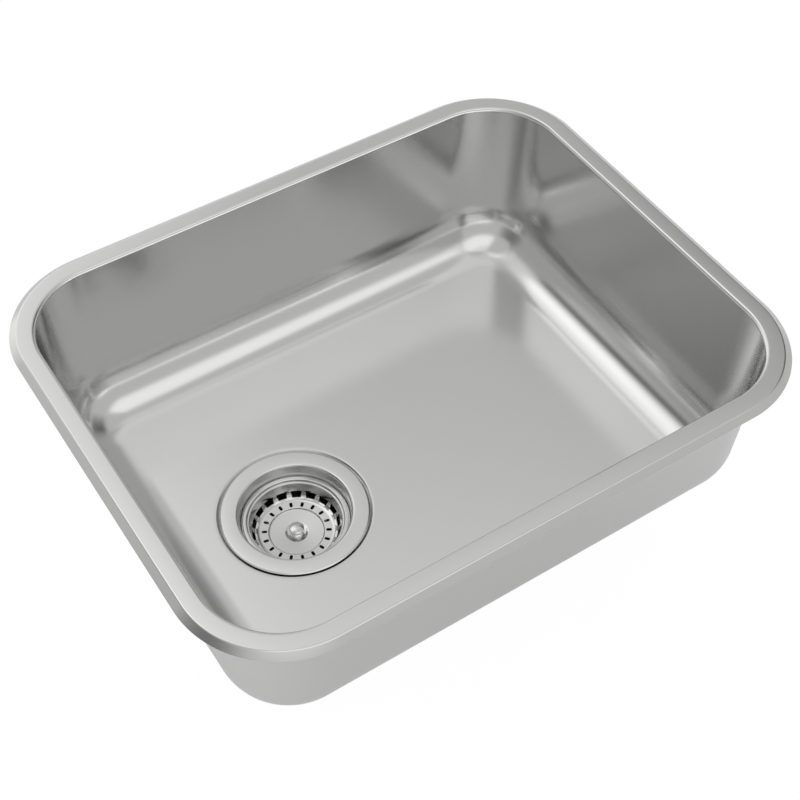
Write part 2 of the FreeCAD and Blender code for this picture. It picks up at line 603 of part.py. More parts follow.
def seal_nut():
    corner_r = SEAL_NUT_FLATS / math.sqrt(3)
    corners = [vector(corner_r * math.cos(math.radians(60 * i)), corner_r * math.sin(math.radians(60 * i)),
                      SEAL_NUT_Z - SEAL_NUT_HEIGHT) for i in range(7)]
    nut = Part.Face(Part.makePolygon(corners)).extrude(vector(0, 0, SEAL_NUT_HEIGHT))
    bore = Part.makeCylinder(STEM_R + STEM_FIT_GAP, SEAL_NUT_HEIGHT, vector(0, 0, SEAL_NUT_Z - SEAL_NUT_HEIGHT))
    return at_drain(nut.cut(bore))


def at_drain(shape):
    """Moves a shape made about the Z axis to the drain."""
    shape.translate(vector(DRAIN_X, DRAIN_Y, 0))
    return shape


NODES = {
    "sink_bowl": sink_bowl,
    "sound_pad": sound_pad,
    "waste_flange": waste_flange,
    "flange_seal": flange_seal,
    "housing_gasket": housing_gasket,
    "waste_housing": waste_housing,
    "hub_insert": hub_insert,
    "screw_washer": screw_washer,
    "centre_screw": centre_screw,
    "basket_shell": basket_shell,
    "basket_knob": basket_knob,
    "basket_stem": basket_stem,
    "detent_ring": detent_ring,
    "seal_washer": seal_washer,
    "stopper_seal": stopper_seal,
    "seal_nut": seal_nut,
}

os.makedirs("parts", exist_ok=True)
for name, make in NODES.items():
    shape = make()
    print(f"{name}: {len(shape.Solids)} solid, {shape.Volume / 1000:.2f} cm3, valid {shape.isValid()}")
    shape.exportStep(f"parts/{name}.step")
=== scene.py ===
"""Undermount kitchen sink with a basket strainer waste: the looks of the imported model, in metres."""
import logging
import math
from dataclasses import dataclass, field
from enum import Enum
from typing import Callable, Optional, Sequence

import bmesh
import bpy
from mathutils import Matrix, Vector


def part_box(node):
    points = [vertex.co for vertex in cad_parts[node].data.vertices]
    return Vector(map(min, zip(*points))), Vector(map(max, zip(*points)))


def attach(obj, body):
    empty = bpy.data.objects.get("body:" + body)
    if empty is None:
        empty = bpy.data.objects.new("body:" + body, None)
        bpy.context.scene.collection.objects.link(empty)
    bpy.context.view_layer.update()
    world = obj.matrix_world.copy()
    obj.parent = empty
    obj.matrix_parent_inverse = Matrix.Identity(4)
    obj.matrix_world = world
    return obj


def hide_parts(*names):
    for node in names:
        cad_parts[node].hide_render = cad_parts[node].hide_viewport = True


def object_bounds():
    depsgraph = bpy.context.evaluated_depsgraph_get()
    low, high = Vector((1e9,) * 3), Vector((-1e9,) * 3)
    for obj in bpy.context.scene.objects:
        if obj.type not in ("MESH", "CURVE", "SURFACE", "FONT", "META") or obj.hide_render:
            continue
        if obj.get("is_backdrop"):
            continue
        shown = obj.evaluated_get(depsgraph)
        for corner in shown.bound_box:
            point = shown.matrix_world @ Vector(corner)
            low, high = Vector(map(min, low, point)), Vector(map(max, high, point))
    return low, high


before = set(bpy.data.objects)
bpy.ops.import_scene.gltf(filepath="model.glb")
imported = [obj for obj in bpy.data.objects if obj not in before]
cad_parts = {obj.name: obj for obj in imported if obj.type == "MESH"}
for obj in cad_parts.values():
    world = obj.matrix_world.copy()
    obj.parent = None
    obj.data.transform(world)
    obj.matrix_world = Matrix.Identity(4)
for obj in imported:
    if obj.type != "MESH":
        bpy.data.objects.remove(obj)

LOG = logging.getLogger("sink")
MM = 0.001
# Tolerances in metres: WELD for turned pieces, NEAR for the pressed sheet and the pad.
WELD = 1e-7
NEAR = 1e-6
# Metres of grain for one radian round a turned piece.
TURN_LENGTH = 0.02
WHITE = (1.0, 1.0, 1.0, 1.0)
Colour = tuple[float, float, float]


class Slot(Enum):
    """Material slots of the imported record."""

    BOWL = "satin_steel"
    FLANGE = "flange_steel"
    BASKET = "basket_steel"
    FASTENER = "fastener_steel"
    SEAL = "seal_rubber"
    PAD = "pad_rubber"
    HOUSING = "housing_plastic"
    INSERT = "insert_brass"


class Body(Enum):
    """Bodies that move as one."""

    SINK = "sink"
    STOPPER = "stopper"
    BASKET = "basket"


@dataclass(frozen=True)
class Corner:
    """One corner of a turned section: radius, height and bend radius, in millimetres."""

    r: float
    z: float
    bend: float = 0.0


# ---------------------------------------------------------------- shared mesh tools


def bent_line(bm: bmesh.types.BMesh, corners: Sequence[Corner], degrees: float = 4.0,
              closed: bool = False) -> list[bmesh.types.BMEdge]:
    """Draws a section as a wire in the XZ plane, with its corners rounded.

    Args:
        bm: mesh that receives the wire.
        corners: the section's corners in order.
        degrees: turn of one segment of a bend.
        closed: whether the last corner joins the first.

    Returns:
        The wire's edges.
    """
    verts = [bm.verts.new((c.r * MM, 0, c.z * MM)) for c in corners]
    pairs = list(zip(verts, verts[1:])) + ([(verts[-1], verts[0])] if closed else [])
    for a, b in pairs:
        bm.edges.new((a, b))
    places = [v.co.copy() for v in verts]
    count = len(corners)
    for i, corner in enumerate(corners):
        if corner.bend <= 0 or (not closed and i in (0, count - 1)):
            continue
        before = places[i - 1] - places[i]
        after = places[(i + 1) % count] - places[i]
        angle = before.angle(after)
        segments = max(2, math.ceil(math.degrees(math.pi - angle) / degrees))
        bmesh.ops.bevel(bm, geom=[verts[i]], offset=corner.bend * MM / math.tan(angle / 2),
                        offset_type="OFFSET", segments=segments, profile=0.5, affect="VERTICES",
                        material=-1, clamp_overlap=False)
    return list(bm.edges)


def full_turn(bm: bmesh.types.BMesh, edges: Sequence[bmesh.types.BMEdge], steps: int) -> None:
    """Spins a wire once round the Z axis.

    Args:
        bm: mesh that holds only the wire.
        edges: the wire's edges.
        steps: segments of the turn.
    """
    bmesh.ops.spin(bm, geom=list(bm.verts) + list(edges), cent=(0, 0, 0), axis=(0, 0, 1), dvec=(0, 0, 0),
                   angle=math.tau, steps=steps, space=Matrix(), use_merge=True,
                   use_normal_flip=False, use_duplicate=False)


def round_edges(bm: bmesh.types.BMesh, edges: Sequence[bmesh.types.BMEdge], radius: float,
                segments: int) -> None:
    """Rounds edges of a mesh.

    Args:
        bm: mesh that holds the edges.
        edges: the edges.
        radius: size of the rounding in millimetres.
        segments: facets across it.
    """
    bmesh.ops.bevel(bm, geom=list(edges), offset=radius * MM, offset_type="OFFSET", segments=segments,
                    profile=0.5, affect="EDGES", material=-1)


def turned(corners: Sequence[Corner], steps: int = 96, degrees: float = 8.0,
           sheet: float = 0.0) -> bmesh.types.BMesh:
    """Turns a section about the Z axis.

    Args:
        corners: a closed outline, one from axis to axis, or a sheet's visible skin.
        steps: segments of the full turn.
        degrees: turn of one segment of a bend.
        sheet: thickness in millimetres, for an open section that follows a sheet's skin.

    Returns:
        A closed mesh about the Z axis.
    """
    bm = bmesh.new()
    on_axis = corners[0].r == 0 and corners[-1].r == 0
    edges = bent_line(bm, corners, degrees, closed=not sheet and not on_axis)
    full_turn(bm, edges, steps)
    bmesh.ops.remove_doubles(bm, verts=bm.verts, dist=WELD)
    bmesh.ops.dissolve_degenerate(bm, edges=bm.edges, dist=WELD / 10)
    if sheet:
        face_up(bm)
        bmesh.ops.solidify(bm, geom=list(bm.faces), thickness=sheet * MM)
    bmesh.ops.recalc_face_normals(bm, faces=bm.faces)
    return bm


def face_up(bm: bmesh.types.BMesh) -> None:
    """Turns an open skin's faces to the side that faces up or inwards.

    Args:
        bm: mesh of one open skin whose flat parts lie level.
    """
    bmesh.ops.recalc_face_normals(bm, faces=bm.faces)
    if sum(face.normal.z * face.calc_area() for face in bm.faces) < 0:
        bmesh.ops.reverse_faces(bm, faces=bm.faces)


def block(low: Sequence[float], high: Sequence[float]) -> bmesh.types.BMesh:
    """A box between two corners.

    Args:
        low: lowest corner in millimetres.
        high: highest corner in millimetres.

    Returns:
        The box's mesh.
    """
    bm = bmesh.new()
    size = [(b - a) * MM for a, b in zip(low, high)]
    centre = [(a + b) * MM / 2 for a, b in zip(low, high)]
    bmesh.ops.create_cube(bm, size=1, matrix=Matrix.Translation(centre) @ Matrix.Diagonal((*size, 1)))
    return bm


def ring(inner_r: float, outer_r: float, low: float, high: float, bend: float = 0.2) -> list[Corner]:
    """Outline of a plain ring with eased corners."""
    return [Corner(inner_r, low, bend), Corner(outer_r, low, bend), Corner(outer_r, high, bend),
            Corner(inner_r, high, bend)]


def prism(outline: Sequence[Sequence[float]], depth: Sequence[float],
          bend: float = 0.0) -> bmesh.types.BMesh:
    """A flat outline pushed along a direction.

    Args:
        outline: points in millimetres, in order.
        depth: the push, in millimetres.
        bend: rounding of the outline's corners, in millimetres.

    Returns:
        The prism's mesh.
    """
    bm = bmesh.new()
    face = bm.faces.new([bm.verts.new([c * MM for c in point]) for point in outline])
    out = bmesh.ops.extrude_face_region(bm, geom=[face])
    moved = [g for g in out["geom"] if isinstance(g, bmesh.types.BMVert)]
    bmesh.ops.translate(bm, verts=moved, vec=[c * MM for c in depth])
    if bend:
        sides = [e for e in bm.edges if (e.verts[0] in moved) != (e.verts[1] in moved)]
        round_edges(bm, sides, bend, segments=5)
    bmesh.ops.recalc_face_normals(bm, faces=bm.faces)
    return bm


def rib(outline: Sequence[Corner], thickness: float) -> bmesh.types.BMesh:
    """A flat rib that stands out from the Z axis, centred on the XZ plane."""
    return prism([(corner.r, -thickness / 2, corner.z) for corner in outline], (0, thickness, 0))


def held(value: float) -> float:
    """Holds a value between 0 and 1."""
    return min(1.0, max(0.0, value))


def copies(one: bmesh.types.BMesh, count: int, first: float = 0.0) -> bmesh.types.BMesh:
    """Repeats a mesh round the Z axis, and frees the first one.

    Args:
        one: mesh to repeat.
        count: how many copies.
        first: angle of the first copy in degrees.

    Returns:
        All copies in one mesh.
    """
    bm = bmesh.new()
    for i in range(count):
        add_mesh(bm, one, first + i * 360 / count)
    one.free()
    return bm


def add_mesh(target: bmesh.types.BMesh, part: bmesh.types.BMesh, turn: float = 0.0) -> None:
    """Copies a mesh into another, turned about the Z axis.

    Args:
        target: mesh that receives the copy.
        part: mesh to copy.
        turn: angle in degrees.
    """
    carrier = bpy.data.meshes.new("carrier")
    part.to_mesh(carrier)
    carrier.transform(Matrix.Rotation(math.radians(turn), 4, "Z"))
    target.from_mesh(carrier)
    bpy.data.meshes.remove(carrier)


def plain_object(name: str, bm: bmesh.types.BMesh) -> bpy.types.Object:
    """Links a mesh to the scene as an object at the origin, and frees it.

    Args:
        name: the object's name.
        bm: its mesh, in place.

    Returns:
        The object.
    """
    mesh = bpy.data.meshes.new(name)
    bm.to_mesh(mesh)
    bm.free()
    piece = bpy.data.objects.new(name, mesh)
    bpy.context.scene.collection.objects.link(piece)
    return piece


def carve(piece: bpy.types.Object, tool_mesh: bmesh.types.BMesh, how: str = "DIFFERENCE") -> None:
    """Cuts a mesh out of a piece, or joins it on, and keeps the result as the piece's mesh.

    Args:
        piece: object to change.
        tool_mesh: closed mesh of the cutter.
        how: name of the Boolean operation.
    """
    tool = plain_object(piece.name + "_tool", tool_mesh)
    cut = piece.modifiers.new("cut", "BOOLEAN")
    cut.operation = how
    cut.solver = "EXACT"
    cut.use_self = how == "UNION"
    cut.object = tool
    bpy.context.view_layer.update()
    seen = piece.evaluated_get(bpy.context.evaluated_depsgraph_get())
    result = bpy.data.meshes.new_from_object(seen)
    old = piece.data
    piece.modifiers.clear()
    piece.data = result
    bpy.data.meshes.remove(old)
    bpy.data.objects.remove(tool)


def finish_piece(piece: bpy.types.Object, material: bpy.types.Material, body: Body,
                 nodes: Sequence[str] = (), sharp: float = 35.0) -> bpy.types.Object:
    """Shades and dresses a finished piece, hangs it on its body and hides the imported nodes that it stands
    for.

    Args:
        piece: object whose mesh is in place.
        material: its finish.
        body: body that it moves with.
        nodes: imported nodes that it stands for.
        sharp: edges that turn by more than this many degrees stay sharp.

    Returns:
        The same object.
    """
    mesh = piece.data
    mesh.shade_smooth()
    mesh.set_sharp_from_angle(angle=math.radians(sharp))
    mesh.materials.clear()
    mesh.materials.append(material)
    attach(piece, body.value)
    if nodes:
        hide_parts(*nodes)
    LOG.info("%s: %d faces on %s", piece.name, len(mesh.polygons), body.value)
    return piece


# ---------------------------------------------------------------- node trees


class Nodes:
    """Short calls to build one node tree."""

    def __init__(self, tree: bpy.types.NodeTree) -> None:
        """Empties the tree.

        Args:
            tree: node tree of a material, world or group.
        """
        self.tree = tree
        tree.nodes.clear()

    def add(self, kind: str, settings: Optional[dict] = None, **sockets: object) -> bpy.types.Node:
        """Adds a node.

        Args:
            kind: Blender's type name.
            settings: properties of the node.
            sockets: input names, with _ for a space, and their values or source sockets.

        Returns:
            The node.
        """
        node = self.tree.nodes.new(kind)
        for key, value in (settings or {}).items():
            setattr(node, key, value)
        for key, value in sockets.items():
            self.put(node.inputs[key.replace("_", " ")], value)
        return node

    def put(self, socket: bpy.types.NodeSocket, value: object) -> None:
        """Sets a socket to a value, or links it to a source socket.

        Args:
            socket: input to set.
            value: a value or a source socket.
        """
        if isinstance(value, bpy.types.NodeSocket):
            self.tree.links.new(value, socket)
        else:
            socket.default_value = value

    def fill(self, node: bpy.types.Node, values: Sequence[object]) -> bpy.types.Node:
        """Sets a node's inputs in order.

        Args:
            node: node to set.
            values: values or source sockets.

        Returns:
            The same node.
        """
        for socket, value in zip(node.inputs, values):
            self.put(socket, value)
        return node

    def math(self, operation: str, *values: object, clamp: bool = False) -> bpy.types.NodeSocket:
        """One math node.

        Args:
            operation: its operation.
            values: its inputs in order.
            clamp: whether the result stays between 0 and 1.

        Returns:
            Its output.
        """
        node = self.add("ShaderNodeMath", {"operation": operation, "use_clamp": clamp})
        return self.fill(node, values).outputs[0]

    def vector(self, operation: str, *values: object) -> bpy.types.NodeSocket:
        """One vector math node.

        Args:
            operation: its operation.
            values: its inputs in order.

        Returns:
            The value of a dot product, or the vector of another operation.
        """
        node = self.add("ShaderNodeVectorMath", {"operation": operation})
        return self.fill(node, values).outputs["Value" if operation == "DOT_PRODUCT" else "Vector"]

    def mix(self, factor: object, first: bpy.types.NodeSocket,
            second: bpy.types.NodeSocket) -> bpy.types.NodeSocket:
        """Mixes two shaders: 0 shows the first and 1 the second."""
        return self.fill(self.add("ShaderNodeMixShader"), (factor, first, second)).outputs[0]

    def between(self, value: object, low: float, high: float, to_low: float,
                to_high: float) -> bpy.types.NodeSocket:
        """Maps a value from one range to another.

        Args:
            value: source socket.
            low: start of its range.
            high: end of its range.
            to_low: result at the start.
            to_high: result at the end.

        Returns:
            The mapped value, held between the two results.
        """
        node = self.add("ShaderNodeMapRange")
        return self.fill(node, (value, low, high, to_low, to_high)).outputs[0]


def node_group(name: str, inputs: Sequence[tuple[str, str, object]], outputs: Sequence[tuple[str, str]],
               build: Callable[[Nodes, bpy.types.Node, bpy.types.Node], None]) -> bpy.types.NodeTree:
    """Makes a shader node group once.

    Args:
        name: the group's name.
        inputs: name, socket type and default of each input.
        outputs: name and socket type of each output.
        build: function that fills the group between its input and output nodes.

    Returns:
        The group.
    """
    if name in bpy.data.node_groups:
        return bpy.data.node_groups[name]
    tree = bpy.data.node_groups.new(name, "ShaderNodeTree")
    for label, kind, default in inputs:
        socket = tree.interface.new_socket(name=label, in_out="INPUT", socket_type=kind)
        if default is not None:
            socket.default_value = default
    for label, kind in outputs:
        tree.interface.new_socket(name=label, in_out="OUTPUT", socket_type=kind)
    nodes = Nodes(tree)
    build(nodes, nodes.add("NodeGroupInput"), nodes.add("NodeGroupOutput"))
    return tree


def grain_group() -> bpy.types.NodeTree:
    """Fine scratches that run along the first axis of a vector, as a value."""

    def build(nodes: Nodes, given: bpy.types.Node, out: bpy.types.Node) -> None:
        """Fills the group.

        Args:
            nodes: the group's nodes.
            given: its input node.
            out: its output node.
        """
        scale = nodes.add("ShaderNodeCombineXYZ", X=given.outputs["Along"], Y=given.outputs["Across"],
                          Z=given.outputs["Across"])
        place = nodes.vector("MULTIPLY", given.outputs["Vector"], scale.outputs[0])
        fine = nodes.add("ShaderNodeTexNoise", Vector=place, Scale=1.0, Detail=3.0, Roughness=0.6)
        nodes.put(out.inputs["Value"], nodes.between(fine.outputs[0], 0.25, 0.75, 0.0, 1.0))

    return node_group("Brushed grain", [("Vector", "NodeSocketVector", None),
                                        ("Along", "NodeSocketFloat", 20.0),
                                        ("Across", "NodeSocketFloat", 2000.0)],
                      [("Value", "NodeSocketFloat")], build)


def smudge_group() -> bpy.types.NodeTree:
    """Soft large patches, as handling and polishing leave them, as a value."""

    def build(nodes: Nodes, given: bpy.types.Node, out: bpy.types.Node) -> None:
        """Fills the group.

        Args:
            nodes: the group's nodes.
            given: its input node.
            out: its output node.
        """
        broad = nodes.add("ShaderNodeTexNoise", Vector=given.outputs["Vector"], Scale=given.outputs["Scale"],
                          Detail=2.0, Roughness=0.45, Distortion=0.3)
        nodes.put(out.inputs["Value"], nodes.between(broad.outputs[0], 0.3, 0.7, 0.0, 1.0))

    return node_group("Soft smudges", [("Vector", "NodeSocketVector", None),
                                       ("Scale", "NodeSocketFloat", 12.0)],
                      [("Value", "NodeSocketFloat")], build)


def soft_edge_group() -> bpy.types.NodeTree:
    """Normals rounded over sharp edges, with a mask of those edges, which the moulded finish uses for a
    painted highlight.
    """

    def build(nodes: Nodes, given: bpy.types.Node, out: bpy.types.Node) -> None:
        """Fills the group.

        Args:
            nodes: the group's nodes.
            given: its input node.
            out: its output node.
        """
        bevel = nodes.add("ShaderNodeBevel", {"samples": 6}, Radius=given.outputs["Radius"])
        plain = nodes.add("ShaderNodeNewGeometry")
        facing = nodes.vector("DOT_PRODUCT", bevel.outputs[0], plain.outputs["Normal"])
        nodes.put(out.inputs["Normal"], bevel.outputs[0])
        nodes.put(out.inputs["Mask"], nodes.between(facing, 0.75, 0.99, 1.0, 0.0))

    return node_group("Soft edges", [("Radius", "NodeSocketFloat", 0.0003)],
                      [("Normal", "NodeSocketVector"), ("Mask", "NodeSocketFloat")], build)


@dataclass(frozen=True)
class Finish:
    """What every finish has: a name, a colour and a gloss."""

    name: str
    colour: Colour
    roughness: float
    edge: float = 0.0003

    def start(self) -> tuple[bpy.types.Material, Nodes, bpy.types.Node]:
        """Makes the material with its shader.

        Returns:
            The material, its nodes and its Principled shader.
        """
        material = bpy.data.materials.new(self.name)
        material.use_nodes = True
        nodes = Nodes(material.node_tree)
        shader = nodes.add("ShaderNodeBsdfPrincipled")
        shader.inputs["Base Color"].default_value = (*self.colour, 1)
        shader.inputs["Roughness"].default_value = self.roughness
        out = nodes.add("ShaderNodeOutputMaterial")
        nodes.put(out.inputs["Surface"], shader.outputs[0])
        material.diffuse_color = (*self.colour, 1)
        return material, nodes, shader

    def edges(self, nodes: Nodes) -> bpy.types.Node:
        """Places the soft edge group.

        Args:
            nodes: nodes of the material.

        Returns:
            The group's node, with a normal and an edge mask.
        """
        group = nodes.add("ShaderNodeGroup", {"node_tree": soft_edge_group()})
        group.inputs["Radius"].default_value = self.edge
        return group


@dataclass(frozen=True)
class Steel(Finish):
    """Stainless steel with a brushed or turned grain."""

    along: float = 12.0
    across: float = 2500.0
    grain: float = 0.05
    bump: float = 0.02
    spread: float = 0.04
    smudge: float = 14.0
    uses_map: bool = False
    turned: bool = False

    def material(self) -> bpy.types.Material:
        """Builds the steel.

        Returns:
            The material.
        """
        material, nodes, shader = self.start()
        shader.inputs["Metallic"].default_value = 1.0
        place = nodes.add("ShaderNodeTexCoord")
        source = place.outputs["UV" if self.uses_map else "Object"]
        if self.turned:
            source = self.round_place(nodes, source)
        grain = nodes.add("ShaderNodeGroup", {"node_tree": grain_group()}, Vector=source,
                          Along=self.along, Across=self.across)
        smudge = nodes.add("ShaderNodeGroup", {"node_tree": smudge_group()},
                           Vector=place.outputs["Object"], Scale=self.smudge)
        fine = nodes.between(grain.outputs[0], 0, 1, self.roughness - self.grain, self.roughness + self.grain)
        broad = nodes.between(smudge.outputs[0], 0, 1, -self.spread, self.spread)
        nodes.put(shader.inputs["Roughness"], nodes.math("ADD", fine, broad))
        bump = nodes.add("ShaderNodeBump", Strength=1.0, Distance=self.bump * MM, Height=grain.outputs[0])
        if self.edge:
            nodes.put(bump.inputs["Normal"], self.edges(nodes).outputs["Normal"])
        nodes.put(shader.inputs["Normal"], bump.outputs[0])
        return material

    def round_place(self, nodes: Nodes, source: bpy.types.NodeSocket) -> bpy.types.NodeSocket:
        """Coordinates that follow a turned surface round the waste's axis.

        Args:
            nodes: nodes of the material.
            source: the piece's own coordinates.

        Returns:
            A vector of turn, radius and height in metres.
        """
        centred = nodes.add("ShaderNodeMapping", Vector=source)
        centred.inputs["Location"].default_value = (-Waste.drain_x * MM, -Waste.drain_y * MM, 0)
        split = nodes.add("ShaderNodeSeparateXYZ", Vector=centred.outputs[0])
        x, y, z = split.outputs
        turn = nodes.math("MULTIPLY", nodes.math("ARCTAN2", y, x), TURN_LENGTH)
        squares = [nodes.math("MULTIPLY", side, side) for side in (x, y)]
        radius = nodes.math("SQRT", nodes.math("ADD", *squares))
        return nodes.add("ShaderNodeCombineXYZ", X=turn, Y=radius, Z=z).outputs[0]


@dataclass(frozen=True)
class Moulded(Finish):
    """Moulded rubber or plastic with a fine pebbled skin, a random tone and a painted highlight on its sharp
    edges.
    """

    pebble: float = 900.0
    bump: float = 0.03
    # spread of the random tone, and strength of the painted highlight on sharp edges
    shade: float = 0.08
    specular: float = 0.5
    smudge: float = 22.0
    spread: float = 0.06

    def material(self) -> bpy.types.Material:
        """Builds the moulded finish.

        Returns:
            The material.
        """
        material, nodes, shader = self.start()
        shader.inputs["Specular IOR Level"].default_value = self.specular
        place = nodes.add("ShaderNodeTexCoord").outputs["Object"]
        pebbles = nodes.add("ShaderNodeTexNoise", Vector=place, Scale=self.pebble, Detail=2.0)
        smudge = nodes.add("ShaderNodeGroup", {"node_tree": smudge_group()}, Vector=place,
                           Scale=self.smudge)
        edges = self.edges(nodes)
        # Colour: a random tone from the smudges, plus a painted highlight that lightens the sharp edges.
        tone_and_edge_highlight = nodes.math("ADD", nodes.between(smudge.outputs[0], 0, 1, -self.shade, self.shade),
                          nodes.math("MULTIPLY", edges.outputs["Mask"], self.shade))
        mixed = nodes.add("ShaderNodeMix", {"data_type": "RGBA", "blend_type": "MIX"})
        nodes.put(mixed.inputs["Factor"], nodes.math("ADD", tone_and_edge_highlight, 0.5, clamp=True))
        for label, factor in (("A", 1 - 2 * self.shade), ("B", 1 + 2 * self.shade)):
            socket = [s for s in mixed.inputs if s.name == label and s.type == "RGBA"][0]
            socket.default_value = (*[min(c * factor, 1) for c in self.colour], 1)
        nodes.put(shader.inputs["Base Color"], [s for s in mixed.outputs if s.type == "RGBA"][0])
        nodes.put(shader.inputs["Roughness"], nodes.between(
            smudge.outputs[0], 0, 1, self.roughness - self.spread, self.roughness + self.spread))
        bump = nodes.add("ShaderNodeBump", Strength=1.0, Distance=self.bump * MM, Height=pebbles.outputs[0],
                         Normal=edges.outputs["Normal"])
        nodes.put(shader.inputs["Normal"], bump.outputs[0])
        return material


# ---------------------------------------------------------------- the bowl


@dataclass
class Bowl:
    """Pressed steel bowl with its flat rim and sloped outer edge, in millimetres."""

    opening_length: float = 444.0
    opening_width: float = 352.0
    corner: float = 58.5
    depth: float = 134.0
    sheet: float = 0.9
    slope: float = 4.0
    floor_fillet: float = 40.0
    rim_flat: float = 13.5
    rim_bend: float = 3.0
    edge_out: float = 5.4
    edge_drop: float = 4.0
    edge_bend: float = 2.5
    flat_margin: float = 1.0
    corner_steps: int = 40
    bend_step: float = 2.5
    recess_hole_r: float = 45.0
    recess_depth: float = 1.8
    recess_foot_r: float = 57.3
    recess_run: float = 1.8
    recess_bend: float = 1.0
    recess_land: float = 3.0
    pad_corner: float = 20.0
    pad_edge: float = 0.6
    level_normal: float = 0.98
    finish: Steel = field(default_factory=lambda: Steel(
        "satin bowl steel", (0.72, 0.72, 0.714), 0.17, edge=0.0, along=16.0, across=1800.0,
        grain=0.015, bump=0.0004, spread=0.01, uses_map=True))
    pad_finish: Moulded = field(default_factory=lambda: Moulded(
        "anti drumming pad", (0.09, 0.09, 0.095), 0.7, pebble=600.0, bump=0.12, shade=0.1))

    def section(self) -> list[Corner]:
        """Floor's edge, wall, rim and sloped edge, from the upright axis of a plan corner.

        Returns:
            The corners of the visible skin.
        """
        lean = self.depth * math.tan(math.radians(self.slope))
        floor_r = self.corner - lean
        flat_r = floor_r - self.floor_fillet * math.tan(math.radians(90 - self.slope) / 2)
        return [
            Corner(flat_r - self.flat_margin, -self.depth),
            Corner(floor_r, -self.depth, self.floor_fillet),
            Corner(self.corner, 0, self.rim_bend),
            Corner(self.corner + self.rim_flat, 0, self.edge_bend),
            Corner(self.corner + self.rim_flat + self.edge_out, -self.edge_drop),
        ]

    def skin(self) -> bmesh.types.BMesh:
        """The bowl's sheet, from the drain's recess to the sloped outer edge.

        Returns:
            The closed sheet.
        """
        bm = self.walls()
        self.lay_floor(bm)
        face_up(bm)
        bmesh.ops.solidify(bm, geom=list(bm.faces), thickness=self.sheet * MM)
        bmesh.ops.recalc_face_normals(bm, faces=bm.faces)
        return bm

    def walls(self) -> bmesh.types.BMesh:
        """Sweeps the section round the opening: a spin at each corner and a push along each side.

        Returns:
            The open skin of walls and rim.
        """
        bm = bmesh.new()
        bent_line(bm, self.section(), self.bend_step)
        centre_x = (self.opening_length / 2 - self.corner) * MM
        centre_y = (self.opening_width / 2 - self.corner) * MM
        bmesh.ops.translate(bm, verts=bm.verts, vec=(centre_x, -centre_y, 0))
        bmesh.ops.rotate(bm, verts=bm.verts, cent=(centre_x, -centre_y, 0),
                         matrix=Matrix.Rotation(math.radians(-90), 3, "Z"))
        geom = list(bm.verts) + list(bm.edges)
        margin = self.flat_margin * MM
        for quarter in range(4):
            x = centre_x if quarter in (0, 1) else -centre_x
            y = centre_y if quarter in (1, 2) else -centre_y
            out = bmesh.ops.spin(bm, geom=geom, cent=(x, y, 0), axis=(0, 0, 1), dvec=(0, 0, 0),
                                 angle=math.pi / 2, steps=self.corner_steps, space=Matrix(),
                                 use_merge=False, use_normal_flip=False, use_duplicate=False)
            geom = out["geom_last"]
            along = Matrix.Rotation(math.radians(90 * (quarter + 1)), 3, "Z") @ Vector((1, 0, 0))
            run = 2 * (centre_y if quarter % 2 == 0 else centre_x)
            for step in (margin, run - 2 * margin, margin):
                edges = [g for g in geom if isinstance(g, bmesh.types.BMEdge)]
                geom = bmesh.ops.extrude_edge_only(bm, edges=edges)["geom"]
                moved = [g for g in geom if isinstance(g, bmesh.types.BMVert)]
                bmesh.ops.translate(bm, verts=moved, vec=along * step)
                geom = moved + [g for g in geom if isinstance(g, bmesh.types.BMEdge)
                                and all(v in moved for v in g.verts)]
        bmesh.ops.remove_doubles(bm, verts=bm.verts, dist=NEAR)
        return bm

    def lay_floor(self, bm: bmesh.types.BMesh) -> None:
        """Fills the floor between the walls' foot and the drain's recess.

        Args:
            bm: the skin of walls and rim.
        """
        half_way = -self.depth / 2 * MM
        inner = [e for e in bm.edges if e.is_boundary and all(v.co.z < half_way for v in e.verts)]
        recess = self.recess()
        before = set(bm.edges)
        add_mesh(bm, recess)
        recess.free()
        level = -self.depth * MM
        land = [e for e in bm.edges if e not in before and e.is_boundary
                and all(abs(v.co.z - level) < NEAR for v in e.verts)]
        bmesh.ops.triangle_fill(bm, use_beauty=True, use_dissolve=False, edges=inner + land)

    def recess(self) -> bmesh.types.BMesh:
        """Pressed ring that lets the flange lie level with the floor.

        Returns:
            The open skin, in place.
        """
        bm = bmesh.new()
        foot = -self.depth - self.recess_depth
        edges = bent_line(bm, [
            Corner(self.recess_hole_r, foot),
            Corner(self.recess_foot_r, foot, self.recess_bend),
            Corner(self.recess_foot_r + self.recess_run, -self.depth, self.recess_bend),
            Corner(self.recess_foot_r + self.recess_run + self.recess_land, -self.depth),
        ], degrees=8.0)
        full_turn(bm, edges, steps=96)
        bmesh.ops.translate(bm, verts=bm.verts, vec=(Waste.drain_x * MM, Waste.drain_y * MM, 0))
        return bm

    def lay_map(self, mesh: bpy.types.Mesh) -> None:
        """Gives each face a map: along the floor, or round the bowl and up its wall.

        Args:
            mesh: the bowl's finished mesh.
        """
        half_x = self.opening_length / 2 * MM
        half_y = self.opening_width / 2 * MM
        corner = self.corner * MM
        half_way = -self.depth / 2 * MM
        layer = mesh.uv_layers.new(name="grain")
        for polygon in mesh.polygons:
            flat = abs(polygon.normal.z) > self.level_normal and polygon.center.z < half_way
            for loop in polygon.loop_indices:
                place = mesh.vertices[mesh.loops[loop].vertex_index].co
                if flat:
                    layer.data[loop].uv = (place.x, place.y)
                    continue
                layer.data[loop].uv = (self.way_round(place, polygon.center, half_x, half_y, corner),
                                       place.z + place.xy.length)

